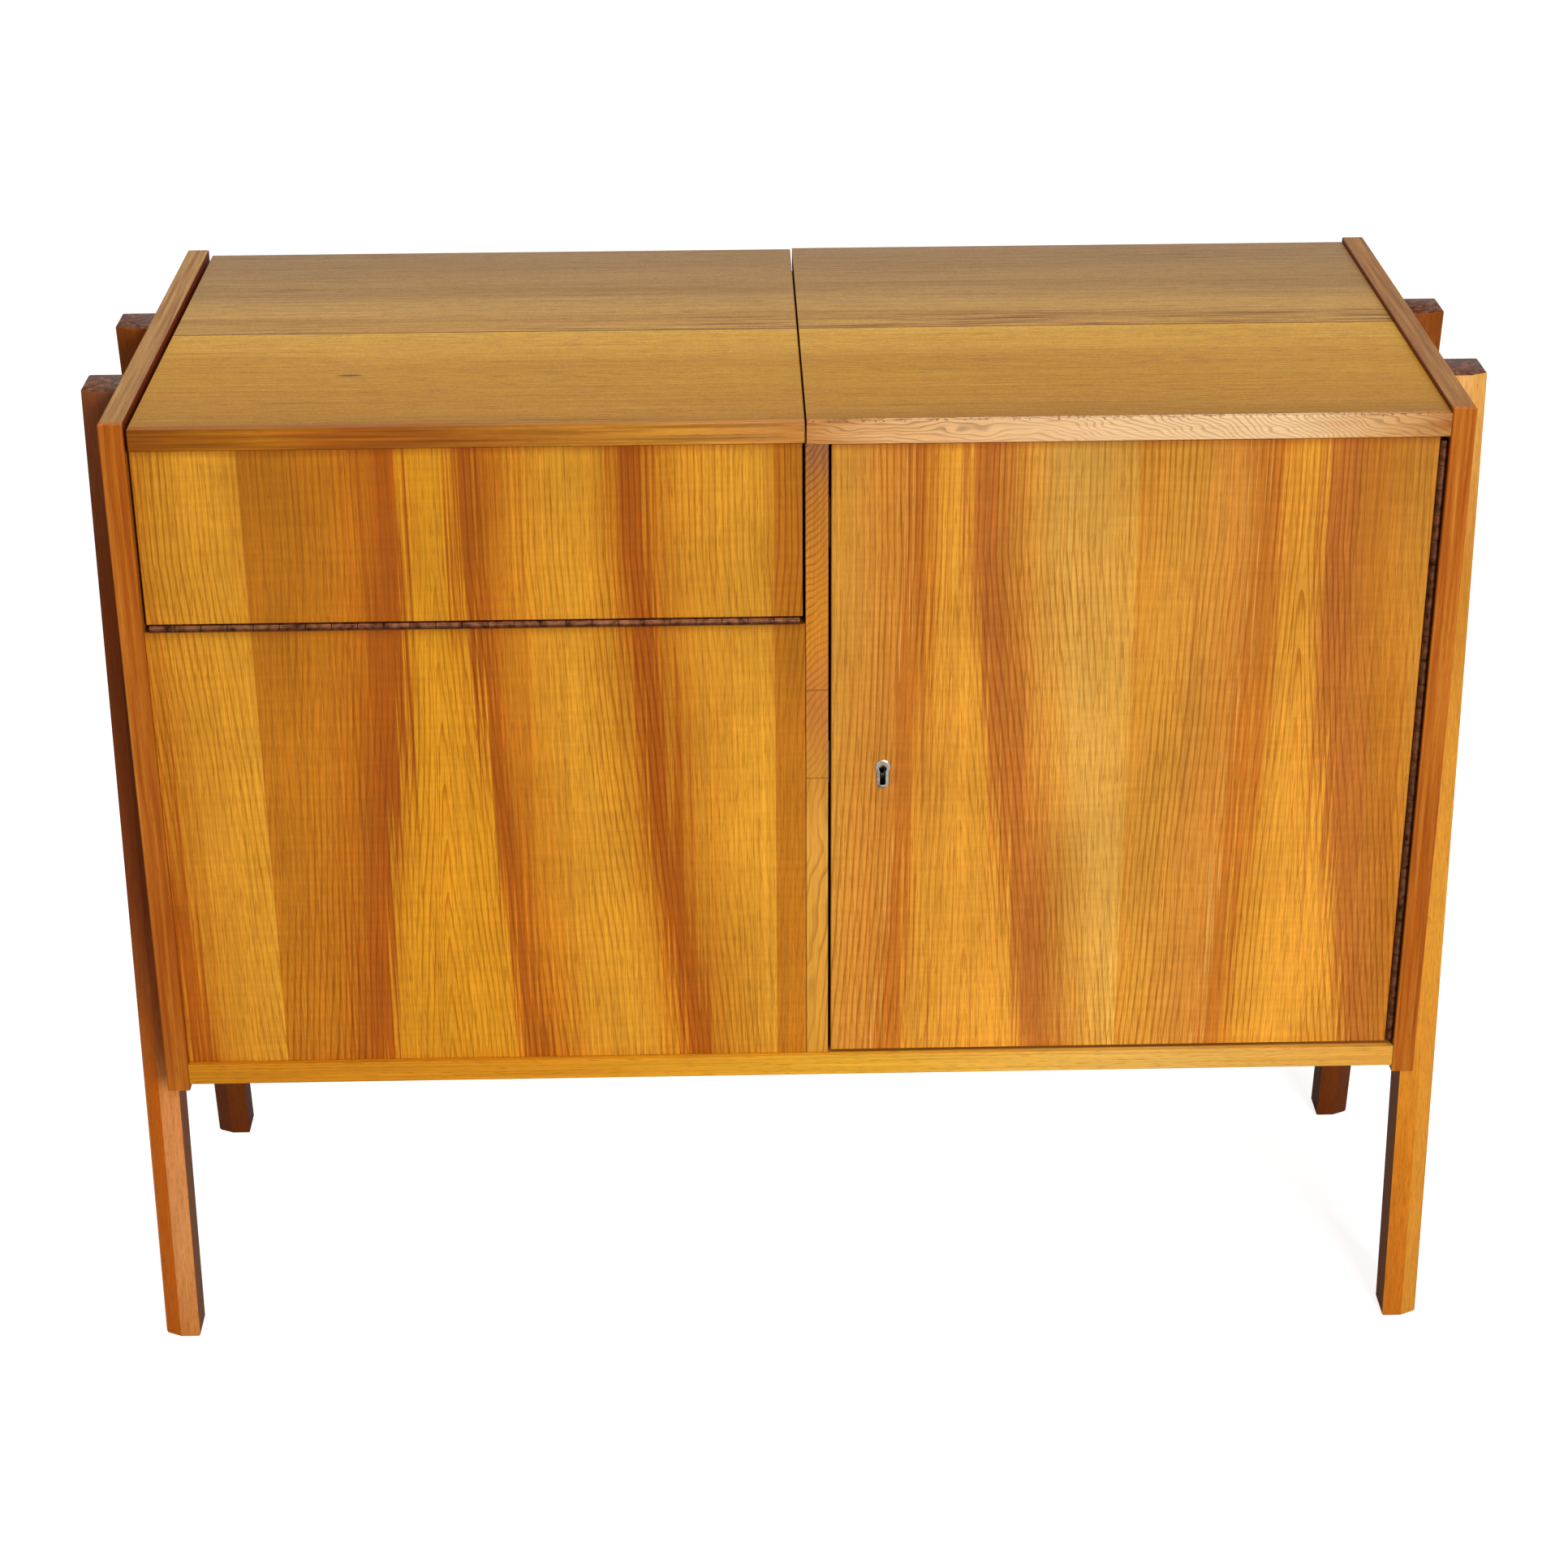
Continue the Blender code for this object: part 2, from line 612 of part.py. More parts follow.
def build_shelves():
    """A rear half shelf housed in grooves in the bar, and a loose shelf on pins in the cupboard."""
    rear = CARCASS_REAR_Y - SHELF_GAP
    front = rear - BAR_SHELF_DEPTH
    top = LOWER_PANEL_TOP_Z
    low = Vector((-SIDE_INNER_X - HOUSING_DEPTH + FIT, front, top - SHELF_THICKNESS))
    high = Vector((DIVIDER_LEFT_X + HOUSING_DEPTH - FIT, rear, top))
    box("bar_shelf", low, high, VENEER)
    room = Vector((FIT, FIT, FIT))
    groove_high = high + room + Vector((0, OVERRUN, 0))
    for board in ("side_left_panel", "divider_panel"):
        HOLES[board].append(box_body(low - room, groove_high))

    under = FLOOR_Z + CUPBOARD_SHELF_HEIGHT
    front = FRONT_Y + CUPBOARD_SHELF_SETBACK
    low = (DIVIDER_RIGHT_X + SHELF_GAP, front, under)
    box("cupboard_shelf", low, (SIDE_INNER_X - SHELF_GAP, rear, under + SHELF_THICKNESS), VENEER)
    peg = rod_mesh(PIN_RADIUS, PIN_REACH * 2 - FIT, SMALL_ROUND_STEPS)
    hole = rod_mesh(PIN_RADIUS + FIT, PIN_REACH * 2, SMALL_ROUND_STEPS)
    kit = {"solid": peg, "hole": hole}
    z = under - FIT - PIN_RADIUS
    for row, y in (("front", front + PIN_INSET), ("rear", rear - PIN_INSET)):
        left = (DIVIDER_RIGHT_X + PIN_REACH, y, z)
        right = (SIDE_INNER_X - PIN_REACH, y, z)
        driven("shelf_pin_" + row + "_left", kit, left, (-1, 0, 0), ("divider_panel",))
        driven("shelf_pin_" + row + "_right", kit, right, (1, 0, 0), ("side_right_panel",))


def build_rests():
    """Blocks under the lid's ends, and the stop behind the door's free edge."""
    front = FRONT_Y + REST_BLOCK_SETBACK
    for side, start, sign in (("left", -SIDE_INNER_X + FIT, 1), ("right", DIVIDER_LEFT_X - FIT, -1)):
        xs = sorted((start, start + sign * REST_BLOCK_SIZE))
        low = (xs[0], front, LID_UNDER_Z - FIT - REST_BLOCK_SIZE)
        high = (xs[1], front + REST_BLOCK_LENGTH, LID_UNDER_Z - FIT)
        box("lid_rest_block_" + side, low, high, PLAIN_WOOD, (side,))
    x = DIVIDER_RIGHT_X + FIT
    y = FACE_REAR_Y + FIT
    high = (x + DOOR_STOP_SIZE, y + DOOR_STOP_SIZE, TOP_UNDER_Z - DOOR_STOP_DROP)
    box("door_stop", (x, y, high[2] - DOOR_STOP_LENGTH), high, PLAIN_WOOD, ("left",))


ACROSS = Matrix(((0, 0, 1, 0), (1, 0, 0, 0), (0, 1, 0, 0), (0, 0, 0, 1)))


def build_flap_stay(side, wall_x, inward):
    """One quadrant with its foot on the flap, and the guide that it runs through."""
    x = wall_x + inward * STAY_STANDOFF
    half = STAY_WIDTH / 2
    foot_front = FRONT_THICKNESS + FIT
    foot_rear = foot_front + STAY_FOOT_THICKNESS
    guide_front = foot_rear + STAY_FOOT_GAP
    guide_rear = guide_front + GUIDE_DEPTH
    head = math.acos((foot_front + FIT) / (STAY_RADIUS - half))
    stop = math.acos((guide_rear + FIT + STAY_PIN_RADIUS) / STAY_RADIUS) - math.pi / 2
    tail = stop - STAY_TAIL / STAY_RADIUS
    outer = arc((0, 0), STAY_RADIUS + half, tail, head, ARC_STEPS)
    inner = arc((0, 0), STAY_RADIUS - half, head, tail, ARC_STEPS)
    mesh = outline_mesh([outer + inner], STAY_THICKNESS / 2)
    place = Matrix.Translation((x, FACE_Y, FLAP_AXIS_Z)) @ ACROSS
    stay = piece("flap_stay_" + side, mesh, HINGE_BRASS, place, FLAP_PIVOT)
    foot_z = FLAP_AXIS_Z + STAY_RADIUS * math.sin(head)
    foot_start = x - inward * STAY_THICKNESS / 2
    xs = sorted((foot_start, foot_start + inward * STAY_FOOT_WIDTH))
    foot = box_body((xs[0], FACE_Y + foot_front, foot_z - STAY_FOOT_HEIGHT / 2),
                    (xs[1], FACE_Y + foot_rear, foot_z + STAY_FOOT_HEIGHT / 2))
    rod = rod_mesh(STAY_PIN_RADIUS, STAY_PIN_LENGTH, SMALL_ROUND_STEPS)
    rod_y = FACE_Y + STAY_RADIUS * math.cos(stop)
    rod_z = FLAP_AXIS_Z + STAY_RADIUS * math.sin(stop)
    rod_place = facing((x - STAY_PIN_LENGTH / 2, rod_y, rod_z), (1, 0, 0))
    boolean(stay, "foot_and_pin", "UNION", joined([foot, placed(rod, rod_place)]))
    shade_round(stay)

    top = math.sqrt((STAY_RADIUS + half) ** 2 - guide_front ** 2) + GUIDE_CLEARANCE
    bottom = math.sqrt((STAY_RADIUS - half) ** 2 - guide_rear ** 2) - GUIDE_CLEARANCE
    xs = sorted((wall_x + inward * FIT, wall_x + inward * GUIDE_REACH))
    low = (xs[0], FACE_Y + guide_front, FLAP_AXIS_Z + bottom - GUIDE_WALL)
    high = (xs[1], FACE_Y + guide_rear, FLAP_AXIS_Z + top + GUIDE_WALL)
    guide = "stay_guide_" + side
    box(guide, low, high, HINGE_BRASS, (side,))
    slot_half = STAY_THICKNESS / 2 + GUIDE_CLEARANCE
    slot_low = (x - slot_half, low[1] - OVERRUN, FLAP_AXIS_Z + bottom)
    slot_high = (x + slot_half, high[1] + OVERRUN, FLAP_AXIS_Z + top)
    HOLES[guide].append(box_body(slot_low, slot_high))


def arm_outline():
    """A flat arm in XY from its pivot at the origin along +X, with a hole for each end."""
    half = ARM_WIDTH / 2
    far = (LID_STAY_REACH, 0)
    rim = arc(far, half, -math.pi / 2, math.pi / 2, SMALL_ROUND_STEPS)
    rim += arc((0, 0), half, math.pi / 2, math.pi * 3 / 2, SMALL_ROUND_STEPS)
    holes = [circle(centre, ARM_STUD_RADIUS + FIT, ROUND_STEPS) for centre in ((0, 0), far)]
    return rim, holes


def stud_mesh(root, point, direction):
    """A pivot stud with a peened head, rooted in a plate whose face is at the point."""
    shoulder = ARM_THICKNESS + FIT * 2
    head = shoulder + ARM_STUD_HEAD_HEIGHT
    mesh = turned_mesh(
        [(0, head), (ARM_STUD_HEAD_RADIUS, head), (ARM_STUD_HEAD_RADIUS, shoulder),
         (ARM_STUD_RADIUS, shoulder), (ARM_STUD_RADIUS, -root), (0, -root)], ROUND_STEPS)
    return placed(mesh, facing(point, direction))


def build_lid_stay():
    """Base and lower arm on the case, upper arm, and the bracket under the lid."""
    drop = math.asin(LID_STAY_DROP / LID_STAY_REACH)
    hinge = Vector((-SIDE_INNER_X, LID_REAR_Y, LID_AXIS_Z))

    def spoke(angle):
        return Vector((0, math.cos(angle), math.sin(angle))) * LID_STAY_REACH

    def inward(distance):
        return Vector((distance, 0, 0))

    base = hinge + spoke(LID_STAY_BASE_ANGLE)
    elbow = base + spoke(math.pi + drop)
    lid_end = hinge + spoke(math.pi + drop)
    base_face = FIT + STAY_BASE_THICKNESS
    lower_x = base_face + FIT
    upper_x = lower_x + ARM_THICKNESS + FIT
    bracket_x = upper_x + ARM_THICKNESS + FIT
    lower_pivot = pivot("lid_stay_lower_pivot", base)
    upper_pivot = pivot("lid_stay_upper_pivot", elbow, lower_pivot)
    rim, holes = arm_outline()
    half = ARM_THICKNESS / 2

    corner = Vector((0, STAY_BASE_WIDTH / 2, STAY_BASE_HEIGHT / 2))
    plate_low = base - corner + inward(FIT)
    plate = box("lid_stay_base", plate_low, base + corner + inward(base_face), HINGE_BRASS, (), None, False)
    stud = stud_mesh(STAY_BASE_THICKNESS / 2, base + inward(base_face), (-1, 0, 0))
    boolean(plate, "stud", "UNION", stud)

    lower_turn = ACROSS @ Matrix.Rotation(math.pi + drop, 4, "Z")
    lower_place = Matrix.Translation(base + inward(lower_x + half)) @ lower_turn
    lower_mesh = outline_mesh([rim, holes[0]], half)
    lower = piece("lid_stay_lower_arm", lower_mesh, HINGE_BRASS, lower_place, lower_pivot)
    stud = stud_mesh(half, elbow + inward(lower_x + ARM_THICKNESS), (-1, 0, 0))
    boolean(lower, "stud", "UNION", stud)

    upper_turn = ACROSS @ Matrix.Rotation(LID_STAY_BASE_ANGLE - math.pi, 4, "Z")
    upper_place = Matrix.Translation(elbow + inward(upper_x + half)) @ upper_turn
    upper_mesh = outline_mesh([rim] + holes, half)
    upper = piece("lid_stay_upper_arm", upper_mesh, HINGE_BRASS, upper_place, upper_pivot)

    tab_x = lid_end.x + bracket_x
    tab_half = BRACKET_WIDTH / 2
    roof = LID_UNDER_Z - FIT
    tab_high = (tab_x + BRACKET_THICKNESS, lid_end.y + tab_half, roof)
    bracket = box("lid_stay_bracket", (tab_x, lid_end.y - tab_half, lid_end.z - tab_half), tab_high,
                  HINGE_BRASS, (), LID_PIVOT, False)
    flange = box_body((tab_x, lid_end.y - BRACKET_LENGTH / 2, roof - BRACKET_THICKNESS),
                      (tab_x + BRACKET_FLANGE, lid_end.y + BRACKET_LENGTH / 2, roof))
    stud = stud_mesh(BRACKET_THICKNESS / 2, (tab_x, lid_end.y, lid_end.z), (1, 0, 0))
    boolean(bracket, "flange_and_stud", "UNION", joined([flange, stud]))
    for obj in (plate, lower, upper, bracket):
        shade_round(obj)


def keyhole_outline(radius, width, height, grow=0.0):
    """A round head over a narrower stem with a round end, head centred on the origin."""
    radius = radius + grow
    half = width / 2 + grow
    drop = height - (radius - grow) + grow
    notch = math.asin(half / radius)
    head = arc((0, 0), radius, notch - math.pi / 2, math.pi * 3 / 2 - notch, ROUND_STEPS)
    return head + arc((0, half - drop), half, math.pi, math.tau, SMALL_ROUND_STEPS)


STAND_UP = Matrix.Rotation(math.pi / 2, 4, "X")


def keyhole_body(front, rear, z, radius, width, height, grow=0.0):
    mesh = outline_mesh([keyhole_outline(radius, width, height, grow)], (rear - front) / 2)
    mesh.transform(Matrix.Translation((KEYHOLE_X, (front + rear) / 2, z)) @ STAND_UP)
    return mesh


def build_keyhole_insert():
    """A nickel insert let into the door, with the keyhole through it and the lock's cover."""
    half = (INSERT_DEPTH + INSERT_PROUD) / 2
    insert = outline_mesh([keyhole_outline(INSERT_HEAD_RADIUS, INSERT_STEM_WIDTH, INSERT_HEIGHT)], half)
    z = KEYHOLE_Z + INSERT_HEAD_RISE
    place = Matrix.Translation((KEYHOLE_X, FACE_Y - INSERT_PROUD + half, z)) @ STAND_UP
    shade_round(piece("keyhole_insert", insert, NICKEL, place, DOOR_PIVOT))
    seat = keyhole_body(FACE_Y - OVERRUN, FACE_REAR_Y + OVERRUN, z, INSERT_HEAD_RADIUS,
                        INSERT_STEM_WIDTH, INSERT_HEIGHT, FIT)
    HOLES["door_panel"].append(seat)
    lock_front = FACE_REAR_Y + FIT
    key_way = keyhole_body(FACE_Y - OVERRUN, lock_front + LOCK_THICKNESS - LOCK_WALL, KEYHOLE_Z,
                           KEYHOLE_RADIUS, KEYHOLE_SLOT_WIDTH, KEYHOLE_HEIGHT)
    for name in ("keyhole_insert", "lock_case"):
        HOLES[name].append(key_way)


def build_lock():
    """The lock on the door's inner face, its sliding bolt, and the strike on the divider."""
    x = DOOR_LEFT_X + LOCK_SETBACK
    y = FACE_REAR_Y + FIT
    low = (x, y, KEYHOLE_Z - LOCK_HEIGHT / 2)
    high = (x + LOCK_WIDTH, y + LOCK_THICKNESS, KEYHOLE_Z + LOCK_HEIGHT / 2)
    box("lock_case", low, high, STEEL, (), DOOR_PIVOT)
    start = Vector((x, y + LOCK_THICKNESS / 2, KEYHOLE_Z))
    end = start + Vector((BOLT_LENGTH, 0, 0))
    half = Vector((0, BOLT_THICKNESS / 2, BOLT_HEIGHT / 2))
    bolt_pivot = pivot("lock_bolt_pivot", start, DOOR_PIVOT)
    box("lock_bolt", start - half, end + half, HINGE_BRASS, (), bolt_pivot)
    room = Vector((FIT, FIT, FIT))
    mouth = Vector((OVERRUN, 0, 0))
    HOLES["lock_case"].append(box_body(start - half - room - mouth, end + half + room))

    centre = Vector((DIVIDER_RIGHT_X, start.y, KEYHOLE_Z))
    corner = Vector((0, STRIKE_WIDTH / 2, STRIKE_HEIGHT / 2))
    back = Vector((FIT, 0, 0))
    face = Vector((FIT + STRIKE_THICKNESS, 0, 0))
    box("strike_plate", centre - corner + back, centre + corner + face, STEEL, (), None, False)
    gap = half + Vector((0, STRIKE_CLEARANCE, STRIKE_CLEARANCE))
    depth = Vector((MORTISE_DEPTH, 0, 0))
    mortise = box_body(centre - gap - depth, centre + gap + face + mouth)
    for name in ("divider_panel", "strike_plate"):
        HOLES[name].append(mortise)


build_sides()
build_boards()
build_back()
build_fronts()
build_legs()
build_hinges()
build_shelves()
build_rests()
build_flap_stay("left", -SIDE_INNER_X, 1)
build_flap_stay("right", DIVIDER_LEFT_X, -1)
build_lid_stay()
build_keyhole_insert()
build_lock()
cut_holes()
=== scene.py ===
import math

import bmesh
import bpy
from mathutils import Matrix, Vector


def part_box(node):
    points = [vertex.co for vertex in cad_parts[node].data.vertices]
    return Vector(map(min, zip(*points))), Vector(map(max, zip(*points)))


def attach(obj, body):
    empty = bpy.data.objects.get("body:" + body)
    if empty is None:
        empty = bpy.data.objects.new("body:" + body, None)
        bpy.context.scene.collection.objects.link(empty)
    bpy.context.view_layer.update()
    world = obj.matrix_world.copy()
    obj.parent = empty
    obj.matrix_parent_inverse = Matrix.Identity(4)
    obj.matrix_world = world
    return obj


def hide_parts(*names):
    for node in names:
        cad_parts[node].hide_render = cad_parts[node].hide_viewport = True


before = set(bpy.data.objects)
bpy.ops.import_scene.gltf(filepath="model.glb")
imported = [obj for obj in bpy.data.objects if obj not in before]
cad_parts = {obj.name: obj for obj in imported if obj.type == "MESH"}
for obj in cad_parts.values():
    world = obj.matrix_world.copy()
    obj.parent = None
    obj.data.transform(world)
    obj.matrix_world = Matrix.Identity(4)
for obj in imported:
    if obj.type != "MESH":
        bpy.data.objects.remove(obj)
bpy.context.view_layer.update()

MM = 0.001
WELD = 0.002 * MM  # points closer than this are one

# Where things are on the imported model, in millimetres
SIDE_INNER = 482.4  # inner faces of the side panels, left and right of the middle
FAN_TOP = 710.0  # below this height the fronts' cathedrals fan out
FRONT_FOOT = 282.0  # lower edge of the fronts
FRONT_TOP = 798.0  # upper edge of the divider's lipping
TOP_FRONT = -215.0
TOP_REAR = 221.0
TOP_JOINT = -1.0  # between the front and rear leaves of the tops' veneer
DIVIDER_JOINTS = (526.0, 600.0)  # heights where the divider's short boards meet
LEG_TOP = 815.0
KEYHOLE_HEIGHT = 533.0
KNOT = (-330.0, -104.0, 816.0)  # the small knot in the lid
BACK_SCREWS_FROM = -460.2
BACK_SCREW_PITCH = 184.08
BACK_SCREW_ROWS = (272.8, 765.3)
BACK_FACE = 217.3

HINGE_RADIUS = 2.8
HINGE_BORE = 1.5
KNUCKLE_ROLL = math.radians(304)
KNUCKLE_STEPS = 26
HINGE_LEAF_THICKNESS = 1.1
HINGE_LEAF_WIDTH = 14.5
HINGE_LEAF_START = 3.2
HINGE_PITCH = 19.5
HINGE_GAP = 0.4
HINGE_SCREW_PITCH = 90.0
HINGE_SCREW_INSET = 24.0
HINGE_SCREW_OUT = 8.65

LEG_EDGE = 1.3  # rounding of a leg's long edges
LEG_END_EDGE = 2.6  # the same round its top and foot
LEG_FACET_EDGE = 0.25  # the same between its front and its facet, which stays crisp

SHARP = math.radians(30)  # edges that turn by more than this are rounded
FACET_TURN = math.radians(20)  # the legs' facet turns by 25 degrees
SMOOTH = math.radians(35)  # faces that turn by less than this are shaded as one

EARLY_WOOD = 1.03  # a growth ring's tone where it is palest

# The photograph's camera, as solved from the case's edges
FOCAL_LENGTH = 3826.7  # in pixels of the picture
PICTURE_WIDTH = 1932
SENSOR = 36.0
CAMERA_AT = (-0.04803, -2.35568, 1.57087)
PITCH, YAW, ROLL = (math.radians(angle) for angle in (26.117, 1.1357, 0.3246))


def colour(code):
    """An sRGB hex colour as the linear values that Blender works in."""
    parts = [int(code[i:i + 2], 16) / 255 for i in (1, 3, 5)]
    linear = [p / 12.92 if p <= 0.04045 else ((p + 0.055) / 1.055) ** 2.4 for p in parts]
    return (*linear, 1.0)


def socket_named(sockets, name):
    """The socket in use with this name, or at this place in the list."""
    used = [socket for socket in sockets if socket.enabled]
    if isinstance(name, int):
        return used[name]
    return next(socket for socket in used if socket.name == name)


def add(tree, kind, inputs, stops=(), **settings):
    """Add a node. kind is its type, without ShaderNode in front where it is a shader node's.

    An input takes a value, an output socket, or a node for its first output in use. A Mix mixes colours.
    """
    node = tree.nodes.new(kind if "Node" in kind else "ShaderNode" + kind)
    if kind == "Mix":
        node.data_type = "RGBA"
    for name, value in settings.items():
        setattr(node, name, value)
    for name, value in inputs.items():
        if isinstance(value, bpy.types.Node):
            value = socket_named(value.outputs, 0)
        if isinstance(value, bpy.types.NodeSocket):
            tree.links.new(value, socket_named(node.inputs, name))
        else:
            socket_named(node.inputs, name).default_value = value
    for i, (position, code) in enumerate(stops):
        elements = node.color_ramp.elements
        if i == 0:
            stop = elements[0]
        elif i == len(stops) - 1:
            stop = elements[len(elements) - 1]
        else:
            stop = elements.new(position)
        stop.position = position
        stop.color = colour(code)
    return node


def start_material(name):
    """A new material with its shader, and Object coordinates in millimetres."""
    material = bpy.data.materials.new(name)
    material.use_nodes = True
    tree = material.node_tree
    tree.nodes.clear()
    shader = add(tree, "BsdfPrincipled", {})
    add(tree, "OutputMaterial", {"Surface": shader})
    spot = add(tree, "TexCoord", {}).outputs["Object"]
    place = add(tree, "VectorMath", {0: spot, "Scale": 1 / MM}, operation="SCALE")
    return material, tree, shader, place


def fibres(tree, place, along, width, length, detail):
    """Noise drawn out along the grain. width and length are one fibre's, in mm."""
    stretch = [1 / width] * 3
    stretch["XYZ".index(along)] = 1 / length
    drawn = add(tree, "VectorMath", {0: place, 1: stretch}, operation="MULTIPLY")
    return add(tree, "TexNoise", {"Vector": drawn, "Scale": 1.0, "Detail": detail})


def wood(name, along, figure, pores=0.4, lines=0.14, roughness=0.42, gloss=0.08):
    """Wood whose broad colour comes from figure, with fine lines and pores along the grain."""
    material, tree, shader, place = start_material(name)
    broad = figure(tree, place)
    line = fibres(tree, place, along, 1.2, 260, 3.0)
    line_tone = add(tree, "MapRange", {0: line, 1: 0.34, 2: 0.68, 3: 1 + lines, 4: 1 - lines})
    toned = add(tree, "VectorMath", {0: broad, "Scale": line_tone}, operation="SCALE")
    # Real pores are 0.2 mm wide. They are drawn 0.65 mm wide so that they show in the render.
    pore = fibres(tree, place, along, 0.65, 15, 1.0)
    pore_dark = add(tree, "MapRange", {0: pore, 1: 0.55, 2: 0.68, 3: 0.0, 4: pores},
                    interpolation_type="SMOOTHSTEP")
    filled = add(tree, "Mix", {"Factor": pore_dark, "A": toned, "B": colour("#84440c")})
    tree.links.new(socket_named(filled.outputs, 0), shader.inputs["Base Color"])
    sheen = add(tree, "MapRange", {0: line, 1: 0.3, 2: 0.7, 3: roughness - 0.05, 4: roughness + 0.07})
    tree.links.new(sheen.outputs[0], shader.inputs["Roughness"])
    height = add(tree, "Math", {0: line, 1: pore_dark}, operation="SUBTRACT")
    relief = add(tree, "Bump", {"Height": height, "Strength": 0.25, "Distance": 0.1 * MM})
    tree.links.new(relief.outputs[0], shader.inputs["Normal"])
    # The thin old lacquer hardly lifts off the wood's own colour.
    shader.inputs["Specular IOR Level"].default_value = gloss
    return material


def growth_rings(tree, place, along, distance, pitch, faintest, darkest):
    """The rings' tone: each year darkens to its late edge, more so in some places than in others."""
    jitter = fibres(tree, place, along, 10, 150, 2.0)
    shifted = add(tree, "Math", {0: jitter, 1: pitch, 2: distance}, operation="MULTIPLY_ADD")
    year = add(tree, "Math", {0: shifted, 1: pitch}, operation="DIVIDE")
    age = add(tree, "Math", {0: year}, operation="FRACT")
    patch = fibres(tree, place, along, 40, 240, 1.0)
    depth = add(tree, "MapRange", {0: patch, 1: 0.38, 2: 0.62, 3: faintest, 4: darkest})
    return add(tree, "MapRange", {0: age, 1: 0.55, 2: 0.92, 3: EARLY_WOOD, 4: depth},
               interpolation_type="SMOOTHSTEP")


def crown_cut(joint, leaf_width, centre, drift, opening, stops, edges, margin=None):
    """The figure of slip-matched crown-cut leaves: narrow cathedrals that fan out to the foot.

    joint is the x of one joint between leaves, centre the x of the cathedral's axis at the top
    of the leaf right of it, and drift how far the axis moves by the foot. opening is how far the
    rings left and right of the axis spread by the foot. The colour stops are at signed distances
    from the axis at the top. edges are the heights of the upper edges. margin is where a
    deeper tone sets in beside the right edge, where it is full, and its colour. All are in mm.
    """
    def figure(tree, place):
        parts = add(tree, "SeparateXYZ", {0: place})
        x, z = parts.outputs["X"], parts.outputs["Z"]
        fall = add(tree, "MapRange", {0: z, 1: FAN_TOP, 2: FRONT_FOOT, 3: 0.0, 4: 1.0})
        leaf_x = add(tree, "Math", {0: x, 1: joint + leaf_width, 2: joint}, operation="WRAP")
        # Noise lies about 0.5, so half its reach is taken off again wherever it shifts a place.
        bend = 12.0
        axis = add(tree, "Math", {0: fall, 1: drift, 2: centre + bend / 2}, operation="MULTIPLY_ADD")
        off = add(tree, "Math", {0: leaf_x, 1: axis}, operation="SUBTRACT")
        sway = fibres(tree, place, "Z", 60, 260, 1.0)
        swayed = add(tree, "Math", {0: sway, 1: bend, 2: off}, operation="MULTIPLY_ADD")
        side = add(tree, "MapRange", {0: swayed, 1: -5.0, 2: 5.0, 3: -1.0, 4: 1.0})
        reach = add(tree, "Math", {0: swayed, 1: side}, operation="MULTIPLY")
        spread = add(tree, "MapRange", {0: swayed, 1: -5.0, 2: 5.0, 3: opening[0], 4: opening[1]})
        spread_here = add(tree, "Math", {0: fall, 1: spread}, operation="MULTIPLY")
        from_axis = add(tree, "Math", {0: reach, 1: spread_here}, operation="SUBTRACT")
        clear = add(tree, "Math", {0: from_axis, 1: 0.0}, operation="MAXIMUM")
        signed = add(tree, "Math", {0: clear, 1: side}, operation="MULTIPLY")
        # The bands' edges break up into streaks, which reach up to 12 mm to either side.
        fray = 64.0
        streak = fibres(tree, place, "Z", 2.6, 340, 3.0)
        frayed = add(tree, "Math", {0: streak, 1: fray, 2: signed}, operation="MULTIPLY_ADD")
        low, high = stops[0][0], stops[-1][0]
        share = add(tree, "MapRange", {0: frayed, 1: low + fray / 2, 2: high + fray / 2})
        shares = [((mm - low) / (high - low), code) for mm, code in stops]
        bands = add(tree, "ValToRGB", {0: share}, shares)
        cloud = fibres(tree, place, "Z", 75, 120, 2.0)
        cloud_tone = add(tree, "MapRange", {0: cloud, 1: 0.3, 2: 0.7, 3: 0.88, 4: 1.12})
        # Painted light: the fronts are painted a little paler towards the foot, where the lamps' light and
        # sheen are brighter.
        paler_lit_foot = add(tree, "Math", {0: fall, 1: 0.14, 2: cloud_tone}, operation="MULTIPLY_ADD")
        broad = add(tree, "VectorMath", {0: bands, "Scale": paler_lit_foot}, operation="SCALE")
        if margin:
            # The reddish band runs on to the right edge, and leans with the grain.
            start, full, tone = margin
            rag = 40.0
            lean = add(tree, "Math", {0: fall, 1: -48.0, 2: x}, operation="MULTIPLY_ADD")
            ragged = add(tree, "Math", {0: streak, 1: rag, 2: lean}, operation="MULTIPLY_ADD")
            deep = add(tree, "MapRange", {0: ragged, 1: start + rag / 2, 2: full + rag / 2})
            broad = add(tree, "Mix", {"Factor": deep, "A": broad, "B": colour(tone)},
                        blend_type="MULTIPLY")
        # A faint cross figure ripples over the grain, each ripple 5 mm high.
        ripple = fibres(tree, place, "X", 5, 55, 2.0)
        ripple_tone = add(tree, "MapRange", {0: ripple, 1: 0.3, 2: 0.7, 3: 1.055, 4: 0.945})
        rippled = add(tree, "VectorMath", {0: broad, "Scale": ripple_tone}, operation="SCALE")
        # The rings stand about 5 mm apart on these leaves, and their late edges are a redder brown.
        rings = growth_rings(tree, place, "Z", from_axis, 4.8, 0.9, 0.58)
        late = add(tree, "MapRange", {0: rings, 1: EARLY_WOOD, 2: 0.6, 3: 0.0, 4: 1.0})
        face = add(tree, "Mix", {"Factor": late, "A": rippled, "B": colour("#dac694")},
                   blend_type="MULTIPLY")
